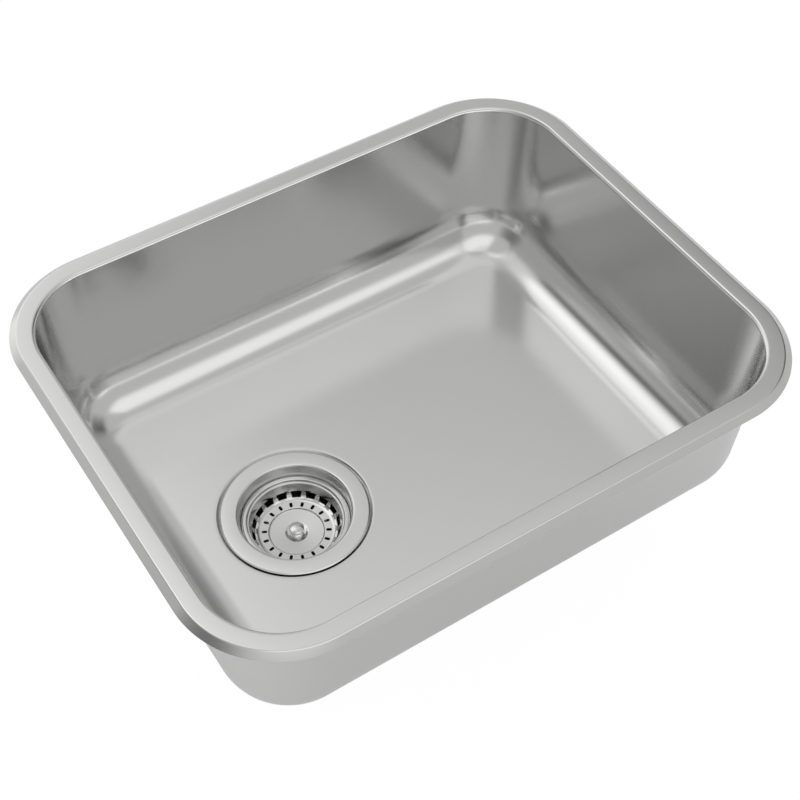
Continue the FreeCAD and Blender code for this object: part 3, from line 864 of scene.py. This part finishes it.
    @staticmethod
    def way_round(place: Vector, centre: Vector, half_x: float, half_y: float, corner: float) -> float:
        """Distance round the opening to a point.

        Args:
            place: the point.
            centre: centre of its face, which settles the side at the seam.
            half_x: half the opening's length.
            half_y: half the opening's width.
            corner: the opening's corner radius.

        Returns:
            The distance in metres, from the middle of the right side, anticlockwise.
        """
        core_x = half_x - corner
        core_y = half_y - corner
        quarter_arc = corner * math.pi / 2
        sign_x = 1 if centre.x >= 0 else -1
        sign_y = 1 if centre.y >= 0 else -1
        x = place.x * sign_x
        y = place.y * sign_y
        if abs(centre.x) > core_x and abs(centre.y) > core_y:
            way = core_y + corner * math.atan2(max(y - core_y, 0), max(x - core_x, 1e-9))
        elif abs(centre.x) > core_x:
            way = y
        else:
            way = core_y + quarter_arc + core_x - x
        side = 2 * core_y + 2 * core_x + 2 * quarter_arc
        if sign_x < 0 and sign_y > 0:
            return side - way
        if sign_x < 0:
            return side + way
        return way if sign_y > 0 else 2 * side - way

    def pad(self) -> bmesh.types.BMesh:
        """Pad stuck under the floor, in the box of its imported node.

        Returns:
            The pad's mesh, in place.
        """
        low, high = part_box("sound_pad")
        bm = block([c / MM for c in low], [c / MM for c in high])
        upright = [e for e in bm.edges if abs(e.verts[0].co.z - e.verts[1].co.z) > NEAR]
        round_edges(bm, upright, self.pad_corner, segments=12)
        foot = [e for e in bm.edges if all(v.co.z < low.z + NEAR for v in e.verts)]
        round_edges(bm, foot, self.pad_edge, segments=3)
        return bm

    def build(self) -> None:
        """Makes the bowl and its pad."""
        bowl = plain_object("pressed_bowl", self.skin())
        self.lay_map(bowl.data)
        finish_piece(bowl, self.finish.material(), Body.SINK, ["sink_bowl"])
        pad = plain_object("floor_pad", self.pad())
        finish_piece(pad, self.pad_finish.material(), Body.SINK, ["sound_pad"])


# ---------------------------------------------------------------- the waste


@dataclass
class Waste:
    """Flange, seals, housing and centre screw, in millimetres, about the drain's axis."""

    drain_x: float = -98.5
    drain_y: float = -9.0
    flange_z: float = -133.8
    flange_r: float = 57.0
    lip: float = 1.4
    lip_drop: float = 0.6
    sheet: float = 1.0
    mouth_r: float = 43.0
    mouth_bend: float = 2.5
    shelf_depth: float = 12.5
    shelf_outer_r: float = 41.6
    shelf_inner_r: float = 38.6
    shelf_bend: float = 1.0
    cup_depth: float = 47.5
    cup_foot_r: float = 34.8
    cup_foot_bend: float = 4.0
    bore_r: float = 4.3
    windows: int = 6
    window_inner_r: float = 12.0
    window_outer_r: float = 25.0
    spoke: float = 5.0
    window_points: int = 9
    seal_thickness: float = 1.0
    seal_hole_r: float = 46.0
    seal_r: float = 55.2
    ring_bend: float = 0.3
    gasket_r: float = 54.5
    gasket_thickness: float = 3.0
    gasket_bend: float = 0.75
    spigot_r: float = 47.6
    spigot_drop: float = 8.0
    spigot_bend: float = 0.5
    washer_r: float = 10.5
    washer_thickness: float = 1.0
    washer_bend: float = 0.15
    insert_bore_r: float = 4.05
    insert_r: float = 6.2
    insert_top_drop: float = 2.5
    insert_foot_drop: float = 16.5
    screw_r: float = 4.0
    screw_drop: float = 18.5
    screw_tip: float = 0.8
    head_r: float = 8.0
    head_height: float = 6.5
    head_foot_bend: float = 0.2
    head_bend: float = 0.8
    socket_floor: float = 0.7
    slot_width: float = 2.0
    slot_depth: float = 2.0
    flange_finish: Steel = field(default_factory=lambda: Steel(
        "turned flange steel", (0.73, 0.73, 0.724), 0.2, edge=0.0002, along=4.0, across=2600.0,
        grain=0.05, bump=0.004, spread=0.015, turned=True))
    screw_finish: Steel = field(default_factory=lambda: Steel(
        "plain fastener steel", (0.55, 0.55, 0.54), 0.22, edge=0.0003, along=8.0, across=1500.0,
        turned=True))
    rubber: Moulded = field(default_factory=lambda: Moulded(
        "black seal rubber", (0.03, 0.03, 0.03), 0.55, bump=0.02, shade=0.15))
    brass: Steel = field(default_factory=lambda: Steel(
        "insert brass", (0.72, 0.52, 0.25), 0.25, turned=True))

    def flange(self) -> bmesh.types.BMesh:
        """Flange and cup in one pressing.

        Returns:
            The mesh about the Z axis.
        """
        z = self.flange_z
        return turned([
            Corner(self.bore_r, z - self.cup_depth),
            Corner(self.cup_foot_r, z - self.cup_depth, self.cup_foot_bend),
            Corner(self.shelf_inner_r, z - self.shelf_depth, self.shelf_bend),
            Corner(self.shelf_outer_r, z - self.shelf_depth, self.shelf_bend),
            Corner(self.mouth_r, z, self.mouth_bend),
            Corner(self.flange_r - self.lip, z, self.lip),
            Corner(self.flange_r, z - self.lip_drop),
        ], steps=144, degrees=6.0, sheet=self.sheet)

    def window_tools(self) -> bmesh.types.BMesh:
        """Cutters for the windows in the cup's floor.

        Returns:
            All cutters in one mesh, about the Z axis.
        """
        z = self.flange_z - self.cup_depth - 3 * self.sheet
        last = self.window_points - 1
        points = []
        for r, order in ((self.window_inner_r, 1), (self.window_outer_r, -1)):
            half = math.pi / self.windows - math.asin(self.spoke / 2 / r)
            turns = [half * (2 * i / last - 1) for i in range(self.window_points)][::order]
            points += [(r * math.cos(turn), r * math.sin(turn), z) for turn in turns]
        return copies(prism(points, (0, 0, 6 * self.sheet)), self.windows)

    def seals(self) -> None:
        """Makes the ring under the flange and the gasket between bowl and housing."""
        rubber = self.rubber.material()
        top = self.flange_z - self.sheet
        under = top - self.seal_thickness
        turned_piece("flange_sealing_ring", ring(self.seal_hole_r, self.seal_r, under, top, self.ring_bend),
                     rubber, Body.SINK, "flange_seal")
        top = under - Bowl.sheet
        under = top - self.gasket_thickness
        foot = top - self.spigot_drop
        turned_piece("housing_rubber_gasket", [
            Corner(self.seal_hole_r, top),
            Corner(self.gasket_r, top, self.gasket_bend),
            Corner(self.gasket_r, under, self.gasket_bend),
            Corner(self.spigot_r, under),
            Corner(self.spigot_r, foot, self.spigot_bend),
            Corner(self.seal_hole_r, foot, self.spigot_bend),
        ], rubber, Body.SINK, "housing_gasket")

    def fasteners(self) -> None:
        """Makes the washer, the brass insert and the hollow-headed centre screw."""
        steel = self.screw_finish.material()
        floor = self.flange_z - self.cup_depth
        seat = floor + self.washer_thickness
        turned_piece("plain_washer", ring(self.bore_r, self.washer_r, floor, seat, self.washer_bend), steel,
                     Body.SINK, "screw_washer")
        insert = ring(self.insert_bore_r, self.insert_r, floor - self.insert_foot_drop,
                      floor - self.insert_top_drop, self.ring_bend)
        turned_piece("brass_insert", insert, self.brass.material(), Body.SINK, "hub_insert")
        foot = floor - self.screw_drop
        head = seat + self.head_height
        screw = plain_object("slotted_screw", turned([
            Corner(0, foot),
            Corner(self.screw_r - self.screw_tip, foot),
            Corner(self.screw_r, foot + self.screw_tip),
            Corner(self.screw_r, seat),
            Corner(self.head_r, seat, self.head_foot_bend),
            Corner(self.head_r, head, self.head_bend),
            Corner(self.screw_r, head, self.ring_bend),
            Corner(self.screw_r, seat + self.socket_floor),
            Corner(0, seat + self.socket_floor),
        ]))
        reach, half = self.head_r + 1, self.slot_width / 2
        carve(screw, block((-reach, -half, head - self.slot_depth), (reach, half, head + self.slot_depth)))
        to_drain(screw)
        finish_piece(screw, steel, Body.SINK, ["centre_screw"])

    def build(self) -> None:
        """Makes the waste's pieces."""
        flange = plain_object("strainer_flange", self.flange())
        carve(flange, self.window_tools())
        to_drain(flange)
        finish_piece(flange, self.flange_finish.material(), Body.SINK, ["waste_flange"])
        self.seals()
        self.fasteners()


@dataclass
class Housing:
    """Moulded housing under the bowl, with its hub, spokes, gussets and threaded outlet, in millimetres."""

    top: float = -139.7
    wall: float = 3.0
    mouth_r: float = 47.7
    rim_r: float = 54.5
    rim_height: float = 4.0
    neck_z: float = -147.7
    foot_r: float = 45.0
    foot_z: float = -193.7
    outlet_r: float = 23.9
    outlet_top: float = -201.7
    outlet_end: float = -223.7
    hub_r: float = 9.5
    hub_top: float = -183.8
    hub_foot: float = -201.8
    hub_bore_r: float = 4.3
    edge_bend: float = 0.5
    insert_hole_r: float = 6.25
    insert_depth: float = 14.0
    spokes: int = 4
    spoke_thickness: float = 2.6
    spoke_inner_r: float = 9.0
    spoke_outer_r: float = 50.0
    spoke_top: float = -187.8
    spoke_foot: float = -207.8
    core_tip: float = -225.0
    gussets: int = 12
    gusset_thickness: float = 2.2
    gusset_inset: float = 0.6
    gusset_bite: float = 1.0
    gusset_drop: float = 30.0
    outlet_bend: float = 5.0
    foot_bend: float = 10.0
    neck_bend: float = 8.0
    join: float = 2.0
    rim_bite: float = 1.5
    outlet_chamfer: float = 1.2
    pitch: float = 2.309
    thread: float = 1.1
    thread_flank: float = 1.25
    thread_crest: float = 0.12
    thread_start: float = 2.5
    thread_fade: float = 2.0
    thread_rings: int = 88
    plastic: Moulded = field(default_factory=lambda: Moulded(
        "housing polypropylene", (0.74, 0.74, 0.72), 0.42, pebble=1200.0, bump=0.02, shade=0.02))

    def skin(self, deeper: float = 0.0) -> list[Corner]:
        """Inner skin from the outlet up to the mouth.

        Args:
            deeper: shift into the wall, in millimetres.

        Returns:
            The skin's corners.
        """
        bore = self.outlet_r - self.wall + deeper
        return [
            Corner(bore, self.outlet_top - self.join - 4 * deeper),
            Corner(bore, self.outlet_top - deeper, self.outlet_bend),
            Corner(self.foot_r + deeper, self.foot_z - deeper, self.foot_bend),
            Corner(self.mouth_r + deeper, self.neck_z, self.neck_bend),
            Corner(self.mouth_r + deeper, self.top),
        ]

    def outlet(self) -> bmesh.types.BMesh:
        """Outlet pipe with its pipe thread.

        Returns:
            The pipe's mesh.
        """
        bore = self.outlet_r - self.wall
        start = self.outlet_top - self.join
        rise = (start - self.outlet_end) / self.thread_rings
        outer = [Corner(self.outlet_r, self.outlet_end + rise * i) for i in range(self.thread_rings + 1)]
        bm = bmesh.new()
        edges = bent_line(bm, [Corner(bore, self.outlet_end), *outer, Corner(bore, start)], closed=True)
        full_turn(bm, edges, steps=96)
        bmesh.ops.remove_doubles(bm, verts=bm.verts, dist=WELD)
        for vert in bm.verts:
            radius = vert.co.xy.length
            if radius > (bore + self.wall / 2) * MM:
                level = vert.co.z / MM
                turn = math.atan2(vert.co.y, vert.co.x) / math.tau
                vert.co.xy *= (radius - self.thread_cut(level, turn, start) * MM) / radius
        bmesh.ops.recalc_face_normals(bm, faces=bm.faces)
        return bm

    def thread_cut(self, level: float, turn: float, start: float) -> float:
        """Depth of the pipe thread and its end chamfer at one point.

        Args:
            level: height in millimetres.
            turn: place round the pipe, in whole turns.
            start: height of the pipe's upper end.

        Returns:
            The depth in millimetres below the thread's crest.
        """
        wave = abs((level / self.pitch + turn) % 1 - 0.5) * 2
        run_out = held((start - self.thread_start - level) / self.thread_fade)
        groove = self.thread * run_out * held(self.thread_flank * wave - self.thread_crest)
        return max(groove, self.outlet_chamfer - (level - self.outlet_end), 0.0)

    def hub(self) -> bmesh.types.BMesh:
        """Hub with its seat for the brass insert.

        Returns:
            The hub's mesh about the Z axis.
        """
        seat = self.hub_top - self.insert_depth
        return turned([
            Corner(self.hub_bore_r, self.hub_foot),
            Corner(self.hub_r, self.hub_foot, self.edge_bend),
            Corner(self.hub_r, self.hub_top, self.edge_bend),
            Corner(self.insert_hole_r, self.hub_top),
            Corner(self.insert_hole_r, seat),
            Corner(self.hub_bore_r, seat),
        ])

    def gusset_ribs(self) -> bmesh.types.BMesh:
        """Tapered gussets under the rim.

        Returns:
            All gussets in one mesh.
        """
        under = self.top - self.rim_height
        inner_r, outer_r = self.mouth_r + self.gusset_inset, self.rim_r - self.gusset_inset
        return copies(rib([
            Corner(inner_r, under + self.gusset_bite),
            Corner(outer_r, under + self.gusset_bite),
            Corner(outer_r, under),
            Corner(self.foot_r + 2 * self.gusset_inset, under - self.gusset_drop),
        ], self.gusset_thickness), self.gussets)

    def spoke_ribs(self) -> bpy.types.Object:
        """Spokes between hub and wall, trimmed to the housing's inside.

        Returns:
            An object that holds them, to be joined to the housing.
        """
        spoke = ring(self.spoke_inner_r, self.spoke_outer_r, self.spoke_foot, self.spoke_top)
        spokes = plain_object("housing_spokes", copies(rib(spoke, self.spoke_thickness), self.spokes))
        core = [Corner(0, self.core_tip), *self.skin(deeper=1.0), Corner(0, self.top)]
        carve(spokes, turned(core), "INTERSECT")
        return spokes

    def build(self) -> None:
        """Makes the housing in one piece."""
        spokes = self.spoke_ribs()
        bm = turned(self.skin(), steps=128, degrees=6.0, sheet=self.wall)
        rim = turned(ring(self.mouth_r + self.rim_bite, self.rim_r, self.top - self.rim_height, self.top,
                          self.edge_bend))
        for part in (self.outlet(), rim, self.hub(), self.gusset_ribs()):
            add_mesh(bm, part)
            part.free()
        bm.from_mesh(spokes.data)
        bpy.data.objects.remove(spokes)
        body = plain_object("moulded_housing", bm)
        to_drain(body)
        finish_piece(body, self.plastic.material(), Body.SINK, ["waste_housing"])


def turned_piece(name: str, corners: Sequence[Corner], material: bpy.types.Material,
                 body: Body, node: str) -> bpy.types.Object:
    """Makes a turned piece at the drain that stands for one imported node.

    Args:
        name: the piece's name.
        corners: its outline.
        material: its finish.
        body: body that it moves with.
        node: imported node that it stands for.

    Returns:
        The piece.
    """
    piece = plain_object(name, turned(corners, steps=96, degrees=9.0))
    to_drain(piece)
    return finish_piece(piece, material, body, [node])


def to_drain(piece: bpy.types.Object) -> None:
    """Moves a mesh made about the Z axis to the drain."""
    piece.data.transform(Matrix.Translation((Waste.drain_x * MM, Waste.drain_y * MM, 0)))


@dataclass
class Basket:
    """Lift-out strainer basket and its knob, in millimetres."""

    rim_r: float = 40.6
    rim_z: float = -144.5
    hem: float = 1.5
    rim_width: float = 3.2
    step_drop: float = 2.2
    step_width: float = 1.5
    step_lean: float = 0.4
    step_bend: float = 0.45
    rim_bend: float = 0.9
    floor_z: float = -160.1
    foot_r: float = 32.6
    foot_bend: float = 6.5
    disc_r: float = 21.3
    disc_z: float = -161.5
    disc_lean: float = 0.35
    disc_bend: float = 0.8
    dimple_r: float = 9.0
    dimple_z: float = -162.3
    dimple_bend: float = 2.0
    hole_r: float = 2.56
    sheet: float = 0.7
    slots: int = 18
    slot_foot: float = 0.8
    slot_top: float = 5.6
    slot_foot_width: float = 6.4
    slot_top_width: float = 9.4
    slot_bend: float = 0.7
    piercing_r: float = 24.8
    piercing_length: float = 4.4
    piercing_width: float = 2.4
    piercing_bend: float = 1.15
    punch_reach: float = 2.0
    knob_r: float = 5.8
    knob_height: float = 7.2
    knob_dome: float = 1.3
    knob_bend: float = 0.4
    dome_steps: int = 9
    skirt_rise: float = 4.85
    neck_top_r: float = 4.2
    neck_top_rise: float = 3.7
    neck_r: float = 3.9
    neck_rise: float = 1.6
    neck_bend: float = 1.0
    base_bend: float = 0.3
    base_r: float = 5.0
    base_rise: float = 1.0
    bore_rise: float = 3.66
    finish: Steel = field(default_factory=lambda: Steel(
        "polished basket steel", (0.70, 0.70, 0.69), 0.13, edge=0.0, along=6.0, across=2200.0,
        grain=0.03, bump=0.002, spread=0.02, turned=True))

    def shell(self) -> bmesh.types.BMesh:
        """Pressed basket before it is punched.

        Returns:
            The mesh about the Z axis.
        """
        inner_r = self.rim_r - self.rim_width
        step_r = inner_r - self.step_lean
        step_z = self.rim_z - self.step_drop
        return turned([
            Corner(self.hole_r, self.dimple_z),
            Corner(self.dimple_r - self.dimple_bend, self.dimple_z, self.dimple_bend),
            Corner(self.dimple_r, self.disc_z, self.dimple_bend),
            Corner(self.disc_r - self.disc_lean, self.disc_z, self.disc_bend),
            Corner(self.disc_r + self.disc_lean, self.floor_z, self.disc_bend),
            Corner(self.foot_r, self.floor_z, self.foot_bend),
            Corner(step_r - self.step_width, step_z, self.rim_bend),
            Corner(step_r, step_z, self.step_bend),
            Corner(inner_r, self.rim_z, self.rim_bend),
            Corner(self.rim_r, self.rim_z, self.rim_bend),
            Corner(self.rim_r, self.rim_z - self.hem),
        ], steps=144, degrees=7.5, sheet=self.sheet)

    def punches(self) -> bmesh.types.BMesh:
        """Cutters for the slots in the wall's foot and the small slots in the floor.

        Returns:
            All cutters in one mesh, about the Z axis.
        """
        inner_r = self.foot_r - self.foot_bend
        low, high = self.floor_z + self.slot_foot, self.floor_z + self.slot_top
        foot, top = self.slot_foot_width / 2, self.slot_top_width / 2
        corners = ((-foot, low), (foot, low), (top, high), (-top, high))
        slot = prism([(inner_r, y, z) for y, z in corners], (self.rim_r - inner_r, 0, 0), self.slot_bend)
        tools = copies(slot, self.slots, 90 + 180 / self.slots)
        half, side = self.piercing_length / 2, self.piercing_width / 2
        z = self.floor_z - self.punch_reach
        corners = ((-half, -side), (half, -side), (half, side), (-half, side))
        small = prism([(self.piercing_r + x, y, z) for x, y in corners], (0, 0, 2 * self.punch_reach),
                      self.piercing_bend)
        piercings = copies(small, self.slots, 90)
        add_mesh(tools, piercings)
        piercings.free()
        return tools

    def knob(self) -> list[Corner]:
        """Outline of the domed knob, from the top of its dome to the top of its bore.

        Returns:
            The corners, from axis to axis.
        """
        foot = self.dimple_z
        top = foot + self.knob_height
        curve = (self.knob_r ** 2 + self.knob_dome ** 2) / (2 * self.knob_dome)
        radii = [self.knob_r * i / self.dome_steps for i in range(self.dome_steps)]
        return [
            *[Corner(r, top - curve + math.sqrt(curve ** 2 - r ** 2)) for r in radii],
            Corner(self.knob_r, top - self.knob_dome, self.knob_bend),
            Corner(self.knob_r, foot + self.skirt_rise, self.knob_bend),
            Corner(self.neck_top_r, foot + self.neck_top_rise, self.neck_bend),
            Corner(self.neck_r, foot + self.neck_rise, self.base_bend),
            Corner(self.base_r, foot + self.base_rise, self.base_bend),
            Corner(self.base_r, foot),
            Corner(self.hole_r, foot),
            Corner(self.hole_r, foot + self.bore_rise),
            Corner(0, foot + self.bore_rise),
        ]

    def build(self) -> None:
        """Makes the basket and its knob."""
        material = self.finish.material()
        shell = plain_object("strainer_basket", self.shell())
        carve(shell, self.punches())
        to_drain(shell)
        finish_piece(shell, material, Body.BASKET, ["basket_shell"])
        turned_piece("domed_knob", self.knob(), material, Body.BASKET, "basket_knob")


@dataclass
class Stopper:
    """Stem under the basket and the rubber umbrella that it carries, in millimetres."""

    foot: float = -179.0
    top: float = -158.7
    stem_r: float = 2.5
    stem_tip: float = 0.6
    play: float = 0.05
    groove_foot: float = 1.3
    groove_top: float = 3.1
    groove_depth: float = 0.35
    detent_reach: float = 1.45
    detent_bend: float = 0.88
    collar_z: float = -164.8
    collar_r: float = 6.0
    collar_height: float = 1.5
    collar_bend: float = 0.3
    washer_r: float = 11.0
    washer_thickness: float = 0.8
    umbrella_r: float = 30.0
    umbrella_hub_r: float = 13.0
    umbrella_thickness: float = 3.0
    umbrella_drop: float = 14.2
    umbrella_lip: float = 2.0
    lip_bend: float = 0.5
    nut_height: float = 2.4
    nut_r: float = 4.7
    nut_face_r: float = 4.1
    nut_chamfer: float = 0.35
    nut_flats: float = 8.0
    steel: Steel = field(default_factory=lambda: Steel(
        "turned stem steel", (0.55, 0.55, 0.54), 0.22, edge=0.0, along=8.0, across=1500.0, turned=True))
    rubber: Moulded = field(default_factory=lambda: Moulded(
        "black stopper rubber", (0.03, 0.03, 0.03), 0.55, bump=0.02, shade=0.15))

    def stem(self) -> list[Corner]:
        """Outline of the stem with its detent groove and collar.

        Returns:
            The corners, from axis to axis.
        """
        r = self.stem_r
        groove_r = r - self.groove_depth
        low, high = self.foot + self.groove_foot, self.foot + self.groove_top
        collar_top = self.collar_z + self.collar_height
        return [
            Corner(0, self.foot), Corner(r - self.stem_tip, self.foot), Corner(r, self.foot + self.stem_tip),
            Corner(r, low), Corner(groove_r, low), Corner(groove_r, high), Corner(r, high),
            Corner(r, self.collar_z), Corner(self.collar_r, self.collar_z, self.collar_bend),
            Corner(self.collar_r, collar_top, self.collar_bend), Corner(r, collar_top),
            Corner(r, self.top), Corner(0, self.top),
        ]

    def umbrella(self) -> list[Corner]:
        """Outline of the rubber umbrella under the washer.

        Returns:
            The corners, as a closed outline.
        """
        hole_r = self.stem_r + self.play
        top = self.collar_z - self.washer_thickness
        under = top - self.umbrella_thickness
        skirt = self.collar_z - self.umbrella_drop
        foot = skirt - self.umbrella_lip
        return [
            Corner(hole_r, top), Corner(self.umbrella_hub_r, top, self.umbrella_thickness),
            Corner(self.umbrella_r, skirt), Corner(self.umbrella_r, foot, self.lip_bend),
            Corner(self.umbrella_r - self.umbrella_lip, foot, self.lip_bend),
            Corner(self.umbrella_hub_r, under, self.umbrella_thickness), Corner(hole_r, under),
        ]

    def nut(self, high: float) -> bpy.types.Object:
        """Thin hexagonal nut with turned faces.

        Args:
            high: height of its upper face.

        Returns:
            The nut about the Z axis.
        """
        hole_r = self.stem_r + self.play
        low = high - self.nut_height
        nut = plain_object("lock_nut", turned([
            Corner(hole_r, low), Corner(self.nut_face_r, low), Corner(self.nut_r, low + self.nut_chamfer),
            Corner(self.nut_r, high - self.nut_chamfer), Corner(self.nut_face_r, high), Corner(hole_r, high),
        ]))
        corner_r = self.nut_flats / math.sqrt(3)
        turns = [math.radians(60 * i) for i in range(6)]
        flats = [(corner_r * math.cos(turn), corner_r * math.sin(turn), low - 1) for turn in turns]
        carve(nut, prism(flats, (0, 0, self.nut_height + 2)), "INTERSECT")
        return nut

    def build(self) -> None:
        """Makes the stopper's pieces."""
        steel, rubber = self.steel.material(), self.rubber.material()
        r, z = self.stem_r, self.collar_z
        under = z - self.washer_thickness
        turned_piece("stopper_stem", self.stem(), steel, Body.STOPPER, "basket_stem")
        detent = ring(r - self.groove_depth, r + self.detent_reach, self.foot + self.groove_foot,
                      self.foot + self.groove_top, self.detent_bend)
        turned_piece("detent_o_ring", detent, rubber, Body.STOPPER, "detent_ring")
        turned_piece("backing_washer", ring(r + self.play, self.washer_r, under, z), steel,
                     Body.STOPPER, "seal_washer")
        turned_piece("rubber_umbrella", self.umbrella(), rubber, Body.STOPPER, "stopper_seal")
        nut = self.nut(under - self.umbrella_thickness)
        to_drain(nut)
        finish_piece(nut, steel, Body.STOPPER, ["seal_nut"])


# ---------------------------------------------------------------- studio


@dataclass(frozen=True)
class Panel:
    """A soft light or dark card of the room, in degrees, and how far it changes the room's level."""

    name: str
    azimuth: float
    half_width: float
    foot: float
    top: float
    change: float


@dataclass
class Studio:
    """Pale floor, a room of soft lights and dark cards, and the camera."""

    target: tuple[float, float, float] = (-0.03347, -0.05376, 0.0)
    azimuth: float = -33.06
    elevation: float = 50.29
    roll: float = 0.24
    distance: float = 1.0214
    lens: float = 67.12
    sensor: float = 36.0
    view_depth: float = 50.0
    floor_size: float = 4.0
    floor_tone: float = 0.88
    floor_glow: float = 1.03
    floor_white: float = 0.94
    floor_gloss: float = 0.15
    room: float = 0.6
    darkest: float = 0.05
    softness: float = 0.1
    panels: tuple[Panel, ...] = (
        Panel("window low in front, for the outer wall", 0, 40, -10, 20, 1.0),
        Panel("ceiling light in front, for the back wall", 0, 60, 50, 90, 0.5),
        Panel("tall pale wall behind, for the left rim", 190, 25, -10, 90, 0.5),
        Panel("dark doorway on the right", 105, 25, 20, 45, -0.5),
        Panel("dark doorway on the left", 265, 20, 20, 45, -0.5),
        Panel("dark beam behind on the left, for the bands by the fillets", 225, 15, 40, 50, -0.8),
        Panel("ceiling light behind on the left, for the right wall", 210, 15, 50, 65, 0.6),
        Panel("ceiling light behind, for the front of the floor", 150, 30, 55, 80, 0.2),
    )

    @staticmethod
    def way(azimuth: float, elevation: float) -> Vector:
        """Direction from the bowl; azimuth 0 is the front and 90 the right."""
        a, e = math.radians(azimuth), math.radians(elevation)
        return Vector((math.sin(a) * math.cos(e), -math.cos(a) * math.cos(e), math.sin(e)))

    def camera(self) -> None:
        """Places the camera at the photograph's viewpoint."""
        back = self.way(self.azimuth, self.elevation)
        right = (-back).cross(Vector((0, 0, 1))).normalized()
        up = right.cross(-back)
        tilt = math.radians(self.roll)
        side = right * math.cos(tilt) + up * math.sin(tilt)
        top = up * math.cos(tilt) - right * math.sin(tilt)
        data = bpy.data.cameras.new("camera")
        data.lens = self.lens
        data.sensor_width = self.sensor
        data.clip_end = self.view_depth
        camera = bpy.data.objects.new("camera", data)
        bpy.context.scene.collection.objects.link(camera)
        turn = Matrix((side, top, back)).transposed().to_4x4()
        camera.matrix_world = Matrix.Translation(Vector(self.target) + back * self.distance) @ turn
        bpy.context.scene.camera = camera

    def floor(self, height: float) -> None:
        """Lays the pale floor.

        Args:
            height: its level in metres.
        """
        bm = bmesh.new()
        bmesh.ops.create_grid(bm, x_segments=1, y_segments=1, size=self.floor_size)
        bmesh.ops.translate(bm, verts=bm.verts, vec=(0, 0, height))
        ground = plain_object("floor", bm)
        material = bpy.data.materials.new("pale floor")
        material.use_nodes = True
        nodes = Nodes(material.node_tree)
        path = nodes.add("ShaderNodeLightPath").outputs
        gloss = nodes.math("MAXIMUM", path["Is Glossy Ray"], path["Is Transmission Ray"])
        seen = nodes.math("MAXIMUM", nodes.math("MULTIPLY", path["Is Camera Ray"], self.floor_white),
                          nodes.math("MULTIPLY", gloss, self.floor_gloss))
        plain = nodes.add("ShaderNodeBsdfDiffuse", Color=(*[self.floor_tone] * 3, 1))
        white = nodes.add("ShaderNodeEmission", Color=WHITE, Strength=self.floor_glow)
        shown = nodes.mix(seen, plain.outputs[0], white.outputs[0])
        nodes.add("ShaderNodeOutputMaterial", Surface=shown)
        ground.data.materials.append(material)
        ground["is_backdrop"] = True

    def panel_mask(self, nodes: Nodes, panel: Panel, flat: bpy.types.NodeSocket,
                   height: bpy.types.NodeSocket) -> bpy.types.NodeSocket:
        """Mask of one panel over the directions of the room.

        Args:
            nodes: nodes of the world.
            panel: the panel.
            flat: level part of the direction, of unit length.
            height: sine of the direction's elevation.

        Returns:
            1 on the panel, 0 beside it, with soft edges.
        """
        aim = nodes.vector("DOT_PRODUCT", flat, self.way(panel.azimuth, 0))
        edge = math.cos(math.radians(panel.half_width))
        side = nodes.between(aim, edge - self.softness, edge + self.softness, 0, 1)
        foot, top = (math.sin(math.radians(angle)) for angle in (panel.foot, panel.top))
        soft = self.softness / 2
        above = nodes.between(height, foot - soft, foot + soft, 0, 1)
        below = nodes.between(height, top - soft, top + soft, 1, 0)
        return nodes.math("MULTIPLY", side, nodes.math("MULTIPLY", above, below))

    def world(self) -> None:
        """Lights the room, and shows white behind the object."""
        world = bpy.data.worlds.new("room")
        bpy.context.scene.world = world
        world.use_nodes = True
        nodes = Nodes(world.node_tree)
        place = nodes.add("ShaderNodeTexCoord").outputs["Generated"]
        height = nodes.add("ShaderNodeSeparateXYZ", Vector=place).outputs["Z"]
        flat = nodes.vector("NORMALIZE", nodes.vector("MULTIPLY", place, (1, 1, 0)))
        glow = self.room
        for panel in self.panels:
            mask = self.panel_mask(nodes, panel, flat, height)
            glow = nodes.math("ADD", glow, nodes.math("MULTIPLY", mask, panel.change))
        level = nodes.math("MAXIMUM", glow, self.darkest)
        room = nodes.add("ShaderNodeBackground", Color=WHITE, Strength=level)
        white = nodes.add("ShaderNodeBackground", Color=WHITE, Strength=1.0)
        camera_ray = nodes.add("ShaderNodeLightPath").outputs["Is Camera Ray"]
        shown = nodes.mix(camera_ray, room.outputs[0], white.outputs[0])
        nodes.add("ShaderNodeOutputWorld", Surface=shown)

    def build(self) -> None:
        """Sets the studio up."""
        self.camera()
        self.world()
        self.floor(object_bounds()[0][2])
        bpy.context.scene.view_settings.view_transform = "Standard"


def main() -> None:
    """Builds every sub-assembly and the studio."""
    logging.basicConfig(level=logging.INFO, format="%(message)s")
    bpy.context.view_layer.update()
    Bowl().build()
    Waste().build()
    Housing().build()
    Basket().build()
    Stopper().build()
    Studio().build()


if __name__ == "__main__":
    main()
